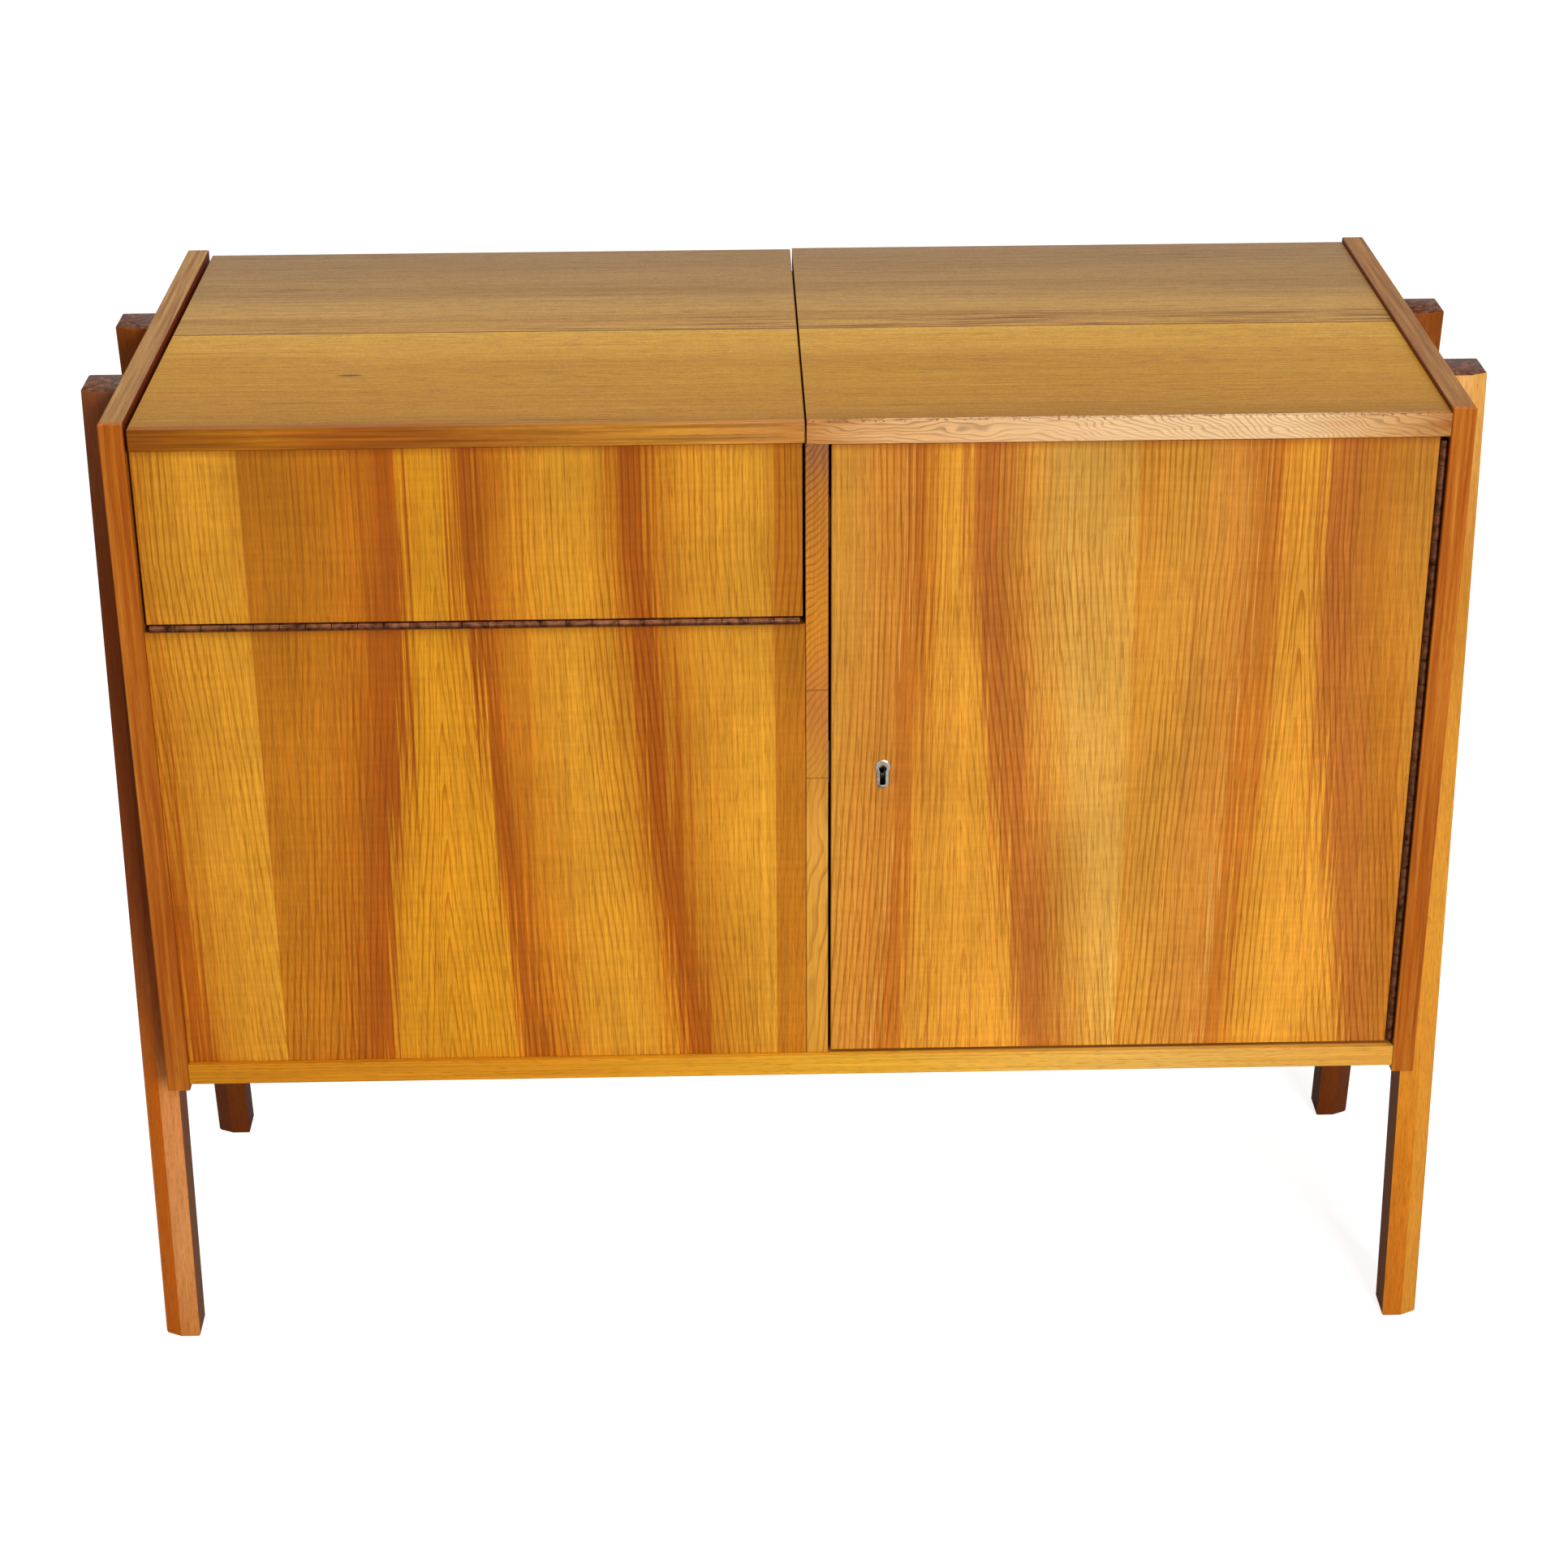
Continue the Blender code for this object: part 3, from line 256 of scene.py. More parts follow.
        # Painted shadow: the last 5 mm under each upper edge are darkened, where the overhanging part
        # above casts its shade.
        for edge in edges:
            close = add(tree, "MapRange", {0: z, 1: edge - 6.5, 2: edge - 1.5, 3: 0.0, 4: 0.4})
            below = add(tree, "Math", {0: z, 1: edge + 1.0}, operation="LESS_THAN")
            under_edge_shadow = add(tree, "Math", {0: close, 1: below}, operation="MULTIPLY")
            face = add(tree, "Mix", {"Factor": under_edge_shadow, "A": face, "B": colour("#7a3606")})
        return edge_banded(tree, place, face, "Y")
    return figure


def edge_banded(tree, place, face_colour, facing):
    """Colour for a veneered board: its face, and the darker band along its edges."""
    normal = add(tree, "TexCoord", {}).outputs["Normal"]
    parts = add(tree, "SeparateXYZ", {0: normal})
    turned = add(tree, "Math", {0: parts.outputs[facing]}, operation="ABSOLUTE")
    on_face = add(tree, "MapRange", {0: turned, 1: 0.5, 2: 0.8})
    band = add(tree, "Mix", {"Factor": 0.55, "A": face_colour, "B": colour("#54230a")})
    return add(tree, "Mix", {"Factor": on_face, "A": band, "B": face_colour})


def two_leaf_top(tree, place):
    """The tops' figure: a golden front leaf and a greyer rear leaf, jointed at half depth."""
    bend = 60.0
    sway = fibres(tree, place, "X", 30, 260, 2.0)
    parts = add(tree, "SeparateXYZ", {0: place})
    y = parts.outputs["Y"]
    swayed = add(tree, "Math", {0: sway, 1: bend, 2: y}, operation="MULTIPLY_ADD")
    lines = add(tree, "MapRange", {0: swayed, 1: TOP_FRONT + bend / 2, 2: TOP_JOINT + bend / 2})
    front = add(tree, "ValToRGB", {0: lines}, [
        (0.0, "#9c6c20"), (0.12, "#ab7824"), (0.3, "#b07b23"), (0.48, "#b58226"), (0.6, "#b37e25"),
        (0.78, "#c28f33"), (0.9, "#c59234"), (1.0, "#cb9a3c")])
    deep = add(tree, "MapRange", {0: swayed, 1: TOP_JOINT + bend / 2, 2: TOP_REAR + bend / 2})
    rear = add(tree, "ValToRGB", {0: deep}, [
        (0.0, "#b48640"), (0.07, "#ba8c44"), (0.14, "#a87c3c"), (0.2, "#b88c48"), (0.36, "#ac8448"),
        (0.5, "#987440"), (0.62, "#a07c48"), (0.8, "#947246"), (1.0, "#947650")])
    behind = add(tree, "Math", {0: y, 1: TOP_JOINT}, operation="GREATER_THAN")
    leaves = add(tree, "Mix", {"Factor": behind, "A": front, "B": rear})
    rings = growth_rings(tree, place, "X", swayed, 5.0, 0.98, 0.86)
    # Fine scratches mottle the worn lacquer, and a few dark hairlines run with the grain.
    wear = add(tree, "TexNoise", {"Vector": place, "Scale": 0.42, "Detail": 4.0})
    mottle = add(tree, "MapRange", {0: wear, 1: 0.3, 2: 0.7, 3: 1.12, 4: 0.88})
    hair = fibres(tree, place, "X", 2.2, 380, 1.0)
    hairline = add(tree, "MapRange", {0: hair, 1: 0.66, 2: 0.72, 3: 1.0, 4: 0.7})
    worn = add(tree, "Math", {0: mottle, 1: hairline}, operation="MULTIPLY")
    tone = add(tree, "Math", {0: rings, 1: worn}, operation="MULTIPLY")
    aged = add(tree, "VectorMath", {0: leaves, "Scale": tone}, operation="SCALE")
    # Dark mineral streaks lie in the rear leaf, just behind the joint.
    streak = fibres(tree, place, "X", 3.0, 110, 2.0)
    dark = add(tree, "MapRange", {0: streak, 1: 0.51, 2: 0.61, 3: 0.0, 4: 0.9})
    near = add(tree, "MapRange", {0: y, 1: 6.0, 2: 55.0, 3: 1.0, 4: 0.12}, interpolation_type="SMOOTHSTEP")
    near_rear = add(tree, "Math", {0: near, 1: behind}, operation="MULTIPLY")
    to_right = add(tree, "MapRange", {0: parts.outputs["X"], 1: -300.0, 2: 160.0, 3: 0.3, 4: 1.0})
    share = add(tree, "Math", {0: near_rear, 1: to_right}, operation="MULTIPLY")
    mineral = add(tree, "Math", {0: share, 1: dark}, operation="MULTIPLY")
    streaked_leaves = add(tree, "Mix", {"Factor": mineral, "A": aged, "B": colour("#5e3416")})
    # The joint between the leaves shows as a line of glue and dust about 1 mm wide.
    from_joint = add(tree, "Math", {0: y, 1: TOP_JOINT}, operation="SUBTRACT")
    distance = add(tree, "Math", {0: from_joint}, operation="ABSOLUTE")
    seam = add(tree, "MapRange", {0: distance, 1: 0.5, 2: 1.3, 3: 0.85, 4: 0.0})
    jointed = add(tree, "Mix", {"Factor": seam, "A": streaked_leaves, "B": colour("#4e2a10")})
    # A small knot lies in the lid's front leaf.
    spot = add(tree, "VectorMath", {0: place, 1: KNOT}, operation="SUBTRACT")
    oval = add(tree, "VectorMath", {0: spot, 1: (0.11, 0.42, 0.1)}, operation="MULTIPLY")
    reach = add(tree, "VectorMath", {0: oval}, operation="LENGTH")
    knot = add(tree, "MapRange", {0: reach.outputs["Value"], 1: 0.5, 2: 1.5, 3: 0.8, 4: 0.0},
               interpolation_type="SMOOTHSTEP")
    knotted = add(tree, "Mix", {"Factor": knot, "A": jointed, "B": colour("#4e2608")})
    return edge_banded(tree, place, knotted, "Z")


def streaked(along, width, length, stops, warp):
    """The figure of a straight-grained board: colours in streaks of this width and length.

    warp is how far the streaks wander. All are in mm.
    """
    def figure(tree, place):
        bend = fibres(tree, place, along, 60, 150, 1.0)
        turned = add(tree, "VectorMath", {0: bend.outputs["Color"], 1: (0.5, 0.5, 0.5)},
                     operation="SUBTRACT")
        shift = add(tree, "VectorMath", {0: turned, "Scale": warp}, operation="SCALE")
        ground = add(tree, "VectorMath", {0: place, 1: shift})
        streak = fibres(tree, ground, along, width, length, 4.0)
        spread = add(tree, "MapRange", {0: streak, 1: 0.28, 2: 0.72})
        return add(tree, "ValToRGB", {0: spread}, stops)
    return figure


def graded(along, start, end, stops, streaks=0.14):
    """The figure of a straight-grained board whose colour changes from start to end, in mm."""
    def figure(tree, place):
        reach = 90.0
        bend = fibres(tree, place, along, 6, 70, 3.0)
        spot = add(tree, "SeparateXYZ", {0: place}).outputs[along]
        wander = add(tree, "Math", {0: bend, 1: reach, 2: spot}, operation="MULTIPLY_ADD")
        run = add(tree, "MapRange", {0: wander, 1: start + reach / 2, 2: end + reach / 2})
        broad = add(tree, "ValToRGB", {0: run}, stops)
        streak = fibres(tree, place, along, 2.6, 130, 3.0)
        tone = add(tree, "MapRange", {0: streak, 1: 0.3, 2: 0.7, 3: 1 + streaks, 4: 1 - streaks})
        return add(tree, "VectorMath", {0: broad, "Scale": tone}, operation="SCALE")
    return figure


def worn_lipping(tree, place):
    """The right top's lipping: bleached, with flame-like grain, browner at its ends and chipped on top."""
    board = graded("X", 12.0, 482.0, [
        (0.0, "#b87c40"), (0.12, "#d4a068"), (0.45, "#ddb484"), (0.75, "#dfb888"), (0.9, "#c8965e"),
        (1.0, "#a06430")], 0.06)(tree, place)
    parts = add(tree, "SeparateXYZ", {0: place})
    slant = add(tree, "MapRange", {0: parts.outputs["X"], 1: 180.0, 2: 420.0, 3: 0.03, 4: 0.3})
    lean = add(tree, "Math", {0: parts.outputs["X"], 1: slant}, operation="MULTIPLY")
    climb = add(tree, "Math", {0: lean, 1: parts.outputs["Z"]}, operation="ADD")
    bend = fibres(tree, place, "X", 12, 34, 1.0)
    flame = add(tree, "Math", {0: bend, 1: 16.0, 2: climb}, operation="MULTIPLY_ADD")
    rings = growth_rings(tree, place, "X", flame, 3.6, 0.78, 0.56)
    flamed = add(tree, "VectorMath", {0: board, "Scale": rings}, operation="SCALE")
    # Chips along the upper edge are 1 to 4 mm long, and few go deeper than 2 mm.
    chip = add(tree, "TexNoise", {"Vector": place, "Scale": 0.33, "Detail": 3.0})
    depth = add(tree, "MapRange", {0: parts.outputs["Z"], 1: 811.5, 2: 816.0, 3: -0.16, 4: 0.08})
    wear = add(tree, "Math", {0: chip, 1: depth}, operation="ADD")
    chipped = add(tree, "MapRange", {0: wear, 1: 0.64, 2: 0.7, 3: 0.0, 4: 0.75})
    return add(tree, "Mix", {"Factor": chipped, "A": flamed, "B": colour("#7a4318")})


def divider_front(tree, place):
    """The divider's lipping: three short boards butted end to end, each with its own slant of grain."""
    # The darker, redder stop at the top is painted shadow, cast by the overhanging top.
    board = graded("Z", FRONT_TOP, FRONT_FOOT, [
        (0.0, "#925c38"), (0.08, "#b26e26"), (0.28, "#c87e22"), (0.4, "#ba7230"), (0.53, "#c0802c"),
        (0.62, "#d6963a"), (1.0, "#ce8f2e")], 0.08)(tree, place)
    parts = add(tree, "SeparateXYZ", {0: place})
    slants, seams = 0.12, 1.0
    for joint, steeper in ((DIVIDER_JOINTS[0], 0.6), (DIVIDER_JOINTS[1], 0.35)):
        above = add(tree, "Math", {0: parts.outputs["Z"], 1: joint}, operation="GREATER_THAN")
        slants = add(tree, "Math", {0: above, 1: steeper, 2: slants}, operation="MULTIPLY_ADD")
        seam = add(tree, "Math", {0: parts.outputs["Z"], 1: joint, 2: 0.7}, operation="COMPARE")
        seams = add(tree, "Math", {0: seam, 1: -0.35, 2: seams}, operation="MULTIPLY_ADD")
    lean = add(tree, "Math", {0: parts.outputs["Z"], 1: slants}, operation="MULTIPLY")
    upright = add(tree, "Math", {0: parts.outputs["X"], 1: lean}, operation="SUBTRACT")
    bend = fibres(tree, place, "Z", 24, 60, 1.0)
    run = add(tree, "Math", {0: bend, 1: 24.0, 2: upright}, operation="MULTIPLY_ADD")
    rings = growth_rings(tree, place, "Z", run, 6.5, 0.86, 0.6)
    tone = add(tree, "Math", {0: rings, 1: seams}, operation="MULTIPLY")
    return add(tree, "VectorMath", {0: board, "Scale": tone}, operation="SCALE")


def leg_figure(stops, facet_code):
    """The legs' figure: streaks up the leg, a facet of another tone with painted light and shade, painted
    shade on the inner side, and dark ends.
    """
    def figure(tree, place):
        side = graded("Z", LEG_TOP, 0.0, stops, 0.1)(tree, place)
        grain = add(tree, "TexNoise", {"Vector": place, "Scale": 0.24, "Detail": 5.0})
        ends = add(tree, "ValToRGB", {0: grain}, [
            (0.34, "#2e180c"), (0.5, "#502a16"), (0.62, "#74442a"), (0.8, "#96653e")])
        normal = add(tree, "TexCoord", {}).outputs["Normal"]
        parts = add(tree, "SeparateXYZ", {0: normal})
        # The facet turns 25 degrees from straight ahead, so its normal's X is 0.42.
        sideways = add(tree, "Math", {0: parts.outputs["X"]}, operation="ABSOLUTE")
        on_facet = add(tree, "Math", {0: sideways, 1: 0.425, 2: 0.1}, operation="COMPARE")
        # Painted shade: above the case's bottom edge, where the case shades the leg, the facet is painted
        # almost as dark as the rest of the leg.
        spot = add(tree, "SeparateXYZ", {0: place})
        strength = add(tree, "MapRange", {0: spot.outputs["Z"], 1: 240.0, 2: 330.0, 3: 0.95, 4: 0.15})
        share = add(tree, "Math", {0: on_facet, 1: strength}, operation="MULTIPLY")
        # Painted light: the facet's tone is partly the wood's and partly painted light, as the lacquer
        # reflects differently on the facet and on the front.
        faceted = add(tree, "Mix", {"Factor": share, "A": side, "B": colour(facet_code)})
        # Painted shade: the side that faces the other legs is painted dark, where shade falls. Only there
        # is its normal's X times its place's X far below nought.
        outward = add(tree, "Math", {0: parts.outputs["X"], 1: spot.outputs["X"]}, operation="MULTIPLY")
        inner = add(tree, "Math", {0: outward, 1: -400.0}, operation="LESS_THAN")
        inner_side_shade = add(tree, "Math", {0: inner, 1: 0.75}, operation="MULTIPLY")
        shaded = add(tree, "Mix", {"Factor": inner_side_shade, "A": faceted, "B": colour("#3e1c0c")})
        turned = add(tree, "Math", {0: parts.outputs["Z"]}, operation="ABSOLUTE")
        on_end = add(tree, "MapRange", {0: turned, 1: 0.6, 2: 0.85})
        return add(tree, "Mix", {"Factor": on_end, "A": shaded, "B": ends})
    return figure


def side_figure(tree, place):
    """The side panels' figure, with front-to-back grain on the top edge and a darker strip in the joint
    beside the tops.
    """
    face = streaked("Z", 16, 420, [
        (0.0, "#9c5414"), (0.3, "#ad6418"), (0.55, "#ba7220"), (0.8, "#c27c28"), (1.0, "#ca8830")],
        14.0)(tree, place)
    edge = streaked("Y", 3, 110, [
        (0.0, "#7a4e20"), (0.3, "#94652e"), (0.6, "#a4763a"), (0.85, "#b28444"), (1.0, "#be9252")],
        3.0)(tree, place)
    normal = add(tree, "TexCoord", {}).outputs["Normal"]
    facing = add(tree, "SeparateXYZ", {0: normal})
    turned = add(tree, "Math", {0: facing.outputs["Z"]}, operation="ABSOLUTE")
    on_edge = add(tree, "MapRange", {0: turned, 1: 0.5, 2: 0.8})
    # Painted shade: the right panel's top edge is painted darker than the left one's, against the stronger
    # lamp light it gets.
    parts = add(tree, "SeparateXYZ", {0: place})
    right = add(tree, "Math", {0: parts.outputs["X"], 1: 0.0}, operation="GREATER_THAN")
    edge = add(tree, "Mix", {"Factor": right, "A": edge, "B": colour("#e2d2b8")}, blend_type="MULTIPLY")
    both = add(tree, "Mix", {"Factor": on_edge, "A": face, "B": edge})
    # The inner faces are darker above 796 mm, in the joint beside the tops.
    out = add(tree, "Math", {0: parts.outputs["X"]}, operation="ABSOLUTE")
    inward = add(tree, "Math", {0: out, 1: SIDE_INNER + 0.5}, operation="LESS_THAN")
    high = add(tree, "Math", {0: parts.outputs["Z"], 1: 796.0}, operation="GREATER_THAN")
    joint = add(tree, "Math", {0: inward, 1: high}, operation="MULTIPLY")
    return add(tree, "Mix", {"Factor": joint, "A": both, "B": colour("#6a2a10")})


def metal(name, code, dark_code, roughness, scratch):
    """Metal with faint scratches and tarnish. scratch is a scratch's width, in mm."""
    material, tree, shader, place = start_material(name)
    tarnish = add(tree, "TexNoise", {"Vector": place, "Scale": 0.16, "Detail": 4.0})
    spread = add(tree, "MapRange", {0: tarnish, 1: 0.35, 2: 0.7})
    tone = add(tree, "Mix", {"Factor": spread, "A": colour(code), "B": colour(dark_code)})
    rubbed = fibres(tree, place, "X", scratch, scratch * 25, 2.0)
    sheen = add(tree, "MapRange", {0: rubbed, 1: 0.3, 2: 0.7, 3: roughness - 0.08, 4: roughness + 0.1})
    relief = add(tree, "Bump", {"Height": rubbed, "Strength": 0.12, "Distance": 0.05 * MM})
    tree.links.new(socket_named(tone.outputs, 0), shader.inputs["Base Color"])
    tree.links.new(sheen.outputs[0], shader.inputs["Roughness"])
    tree.links.new(relief.outputs[0], shader.inputs["Normal"])
    shader.inputs["Metallic"].default_value = 1.0
    return material


def pressed_board(name, code, dark_code):
    """Hardboard: matt brown pulp pressed flat, with short fibres in every direction."""
    material, tree, shader, place = start_material(name)
    # The pulp's fibres are 1 to 3 mm long.
    pulp = add(tree, "TexNoise", {"Vector": place, "Scale": 0.9, "Detail": 5.0})
    stain = add(tree, "TexNoise", {"Vector": place, "Scale": 0.02, "Detail": 3.0})
    both = add(tree, "Math", {0: pulp, 1: stain}, operation="ADD")
    spread = add(tree, "MapRange", {0: both, 1: 0.75, 2: 1.25})
    tone = add(tree, "Mix", {"Factor": spread, "A": colour(code), "B": colour(dark_code)})
    relief = add(tree, "Bump", {"Height": pulp, "Strength": 0.3, "Distance": 0.15 * MM})
    tree.links.new(socket_named(tone.outputs, 0), shader.inputs["Base Color"])
    tree.links.new(relief.outputs[0], shader.inputs["Normal"])
    shader.inputs["Roughness"].default_value = 0.8
    return material


# Crown-cut veneer under clear lacquer: golden fields between reddish-brown bands, a soft gloss.
left_front_veneer = wood("lacquered_crown_cut_veneer_left", "Z", crown_cut(
    -403.0, 391.0, -263.0, -14.0, (18.0, 49.0), [
        (-140, "#ae6a16"), (-110, "#b06c16"), (-78, "#bb7218"), (-56, "#b56814"), (-47, "#a85812"),
        (-27, "#a2520f"), (-23, "#c07a18"), (-10, "#d08c1c"), (10, "#cf8a1c"), (15, "#c07418"),
        (20, "#a2540f"), (31, "#a4560f"), (36, "#b46814"), (52, "#bf761a"), (78, "#cc8a24"),
        (100, "#cf8f26"), (126, "#c88420"), (139, "#b56814"), (144, "#a0500e"), (158, "#a4560f"),
        (163, "#b87018"), (190, "#ca8824"), (232, "#cf9028"), (251, "#c48222")],
    [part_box(name)[1][2] / MM for name in ("flap_panel", "lower_front_panel")]))
door_veneer = wood("lacquered_crown_cut_veneer_door", "Z", crown_cut(
    257.5, 258.0, 381.0, 14.0, (35.0, 33.0), [
        (-122, "#c28029"), (-90, "#c5882f"), (-64, "#c38230"), (-46, "#c47e2c"), (-39, "#be7426"),
        (-37, "#d49e4a"), (-35, "#b86c20"), (-20, "#b96c20"), (-15, "#cc8428"), (-8, "#d08c2c"),
        (4, "#d4912e"), (10, "#c47c28"), (16, "#b06624"), (28, "#ae6424"), (40, "#b87328"),
        (58, "#cc8c34"), (85, "#d09a42"), (112, "#cc943c"), (136, "#ca9036")],
    [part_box("door_panel")[1][2] / MM], (412.0, 434.0, "#e4cea8")))
# The tops' veneer has faded in the light, and the rear leaf is greyer than the front one.
top_veneer = wood("lacquered_faded_top_veneer", "X", two_leaf_top, pores=0.5, lines=0.16,
                  roughness=0.4, gloss=0.05)
# Straight-grained veneer on the sides: even honey brown, with worn solid top edges.
side_veneer = wood("lacquered_side_veneer", "Z", side_figure)
inner_veneer = wood("satin_inner_veneer", "Z", streaked("Z", 16, 420, [
    (0.0, "#a06020"), (0.4, "#b3742a"), (0.7, "#c08234"), (1.0, "#ca9040")], 14.0), roughness=0.5)
# Solid lippings under the same lacquer: each strip was cut from another board, so each has its own tone.
lid_lipping_wood = wood("lacquered_lid_lipping", "X", graded("X", -482.0, -12.0, [
    (0.0, "#88480a"), (0.2, "#a26214"), (0.32, "#965010"), (0.45, "#905012"), (0.7, "#aa6e22"),
    (0.83, "#b67a28"), (1.0, "#b47836")], 0.4))
worn_lipping_wood = wood("worn_right_top_lipping", "X", worn_lipping, pores=0.2, lines=0.06,
                         roughness=0.5)
divider_wood = wood("lacquered_divider_lipping", "Z", divider_front, pores=0.2, lines=0.06)
side_lipping_wood = wood("lacquered_side_lipping", "Z", streaked("Z", 4, 160, [
    (0.0, "#8c420a"), (0.3, "#a05010"), (0.55, "#ac5e16"), (0.8, "#b66a1e"), (1.0, "#c07828")], 5.0))
bottom_lipping_wood = wood("lacquered_bottom_lipping", "X", graded("X", -482.0, 482.0, [
    (0.0, "#c27a16"), (0.3, "#cf871a"), (0.55, "#d99e2a"), (0.8, "#dca84e"), (1.0, "#d4963a")], 0.1))
# Solid hardwood legs: golden at the front right, redder at the front left, dark red-brown at the rear. The
# front left leg's dark upper part is painted shade from the side panel, and its paler pinkish front low
# down is partly painted reflection.
front_right_leg_wood = wood("lacquered_front_right_leg", "Z", leg_figure([
    (0.0, "#cf9850"), (0.2, "#b87828"), (0.35, "#cf8c30"), (0.6, "#d8942e"), (0.8, "#cb781a"),
    (1.0, "#c46c18")], "#d48c2c"),
    pores=0.3, lines=0.1)
front_left_leg_wood_painted_shade = wood("lacquered_front_left_leg_painted_shade", "Z", leg_figure([
    (0.0, "#74442a"), (0.2, "#763718"), (0.5, "#8c4218"), (0.66, "#b06024"), (0.73, "#d6884a"),
    (0.88, "#d48c50"), (1.0, "#cc7e3c")], "#c66000"),
    pores=0.3, lines=0.1)
# The rear legs' dark red-brown is partly their own wood and partly painted shade from the case above them.
rear_leg_wood_part_painted_shade = wood("lacquered_rear_leg_part_painted_shade", "Z", leg_figure([
    (0.0, "#84420f"), (0.3, "#944c14"), (0.6, "#8c4612"), (1.0, "#6e320c")], "#64300f"),
    pores=0.3, lines=0.1)
# Unlacquered inner wood: pale, dry and matt.
inside_wood = wood("bare_inner_wood", "X", streaked("X", 9, 200, [
    (0.0, "#b88e5a"), (0.4, "#cba26c"), (0.7, "#d6b07a"), (1.0, "#dfbd8a")], 8.0),
    pores=0.15, lines=0.07, roughness=0.68)
shelf_veneer = wood("satin_shelf_veneer", "X", streaked("X", 14, 360, [
    (0.0, "#a06020"), (0.4, "#b4742a"), (0.7, "#c28436"), (1.0, "#cc9242")], 16.0), roughness=0.5)
hardboard = pressed_board("brown_hardboard", "#8c6238", "#6d4826")
# Rolled brass gone brown with age: hinges, stays and the lock's bolt. Zinc-plated steel, a little dull:
# lock, screws and shelf pins. Nickel worn warm and shiny: the keyhole's lip.
dull_brass = metal("dull_rolled_brass", "#7a4e36", "#341a10", 0.42, 0.35)
zinc_steel = metal("zinc_plated_steel", "#b4b5b2", "#8e8f8c", 0.38, 0.3)
nickel = metal("worn_nickel_plate", "#d4cabc", "#8a7460", 0.24, 0.25)
# Black steel for the sleeve inside the keyhole: painted shade, so that the keyhole looks dark.
keyhole_shade_steel = metal("keyhole_painted_shade_black_steel", "#1c1816", "#0e0c0a", 0.6, 0.3)

for material, names in (
        (left_front_veneer, ("flap_panel", "lower_front_panel")),
        (door_veneer, ("door_panel",)),
        (top_veneer, ("lid_panel", "top_right_panel")),
        (lid_lipping_wood, ("lid_lipping",)),
        (worn_lipping_wood, ("top_right_lipping",)),
        (divider_wood, ("divider_lipping",)),
        (side_lipping_wood, ("side_left_lipping", "side_right_lipping")),
        (bottom_lipping_wood, ("bottom_lipping",)),
        (side_veneer, ("side_left_panel", "side_right_panel")),
        (inner_veneer, ("divider_panel",)),
        (shelf_veneer, ("bottom_panel", "bar_shelf", "cupboard_shelf")),
        (hardboard, ("back_panel",)),
        (inside_wood, ("rear_rail_left", "rear_rail_right", "lid_rest_block_left",
                       "lid_rest_block_right", "door_stop")),
        (dull_brass, ("lock_bolt",))):
    for name in names:
        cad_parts[name].material_slots[0].material = material
for name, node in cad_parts.items():
    if name.startswith("shelf_pin"):
        node.material_slots[0].material = zinc_steel
    elif name.endswith("hinge_pin"):
        node.material_slots[0].material = dull_brass


def show(name, mesh, material=None):
    """A new piece with this mesh, shaded smooth apart from its sharp edges."""
    piece = bpy.data.objects.new(name, mesh)
    bpy.context.scene.collection.objects.link(piece)
    mesh.shade_smooth()
    mesh.set_sharp_from_angle(angle=SMOOTH)
    if material:
        mesh.materials.clear()
        mesh.materials.append(material)
    return piece


def plain(piece):
    """Turn a piece and its modifiers into a plain mesh, and take the piece away."""
    graph = bpy.context.evaluated_depsgraph_get()
    mesh = bpy.data.meshes.new_from_object(piece.evaluated_get(graph))
    bpy.data.objects.remove(piece)
    return mesh


def finished(name, mesh, material, body, slot, *nodes):
    """Show a finished piece, which rides on a body and stands for these CAD nodes."""
    piece = show(name, mesh, material)
    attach(piece, body)
    if nodes:
        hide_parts(*nodes)


def made(shape, name):
    """A mesh of this shape, which is done with."""
    mesh = bpy.data.meshes.new(name)
    shape.to_mesh(mesh)
    shape.free()
    return mesh


def softened(node, width, segments=2, ends=0.0):
    """A copy of a CAD node's mesh with its sharp edges rounded by width, in mm.

    On a leg, ends is the wear of the edges round its top and foot, and the facet's edge stays crisp.
    """
    shape = bmesh.new()
    shape.from_mesh(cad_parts[node].data)
    bmesh.ops.remove_doubles(shape, verts=shape.verts, dist=WELD)
    bmesh.ops.dissolve_limit(shape, angle_limit=math.radians(0.6), verts=shape.verts, edges=shape.edges)
    if ends:
        weights = shape.edges.layers.float.new("bevel_weight_edge")
        for edge in shape.edges:
            level = abs(edge.verts[0].co.z - edge.verts[1].co.z) < MM
            turn = edge.calc_face_angle() if edge.is_manifold else 0.0
            if turn > SHARP:
                edge[weights] = 1.0 if level else width / ends
            elif turn > FACET_TURN and not level:
                edge[weights] = LEG_FACET_EDGE / ends
    piece = show(node + "_shape", made(shape, node + "_shape"))
    bevel = piece.modifiers.new("rounding", "BEVEL")
    bevel.width = (ends or width) * MM
    bevel.segments = segments
    bevel.limit_method = "WEIGHT" if ends else "ANGLE"
    bevel.angle_limit = SHARP
    return plain(piece)


def turned(profile, steps):
    """A closed shape turned round Z from (radius, height) points in mm, from low to high."""
    shape = bmesh.new()
    corners = [shape.verts.new((radius * MM, 0, height * MM)) for radius, height in profile]
    edges = [shape.edges.new(pair) for pair in zip(corners, corners[1:])]
    bmesh.ops.spin(shape, geom=corners + edges, cent=(0, 0, 0), axis=(0, 0, 1),
                   angle=math.tau, steps=steps)
    bmesh.ops.remove_doubles(shape, verts=shape.verts, dist=WELD)
    bmesh.ops.recalc_face_normals(shape, faces=shape.faces)
    return made(shape, "turned")


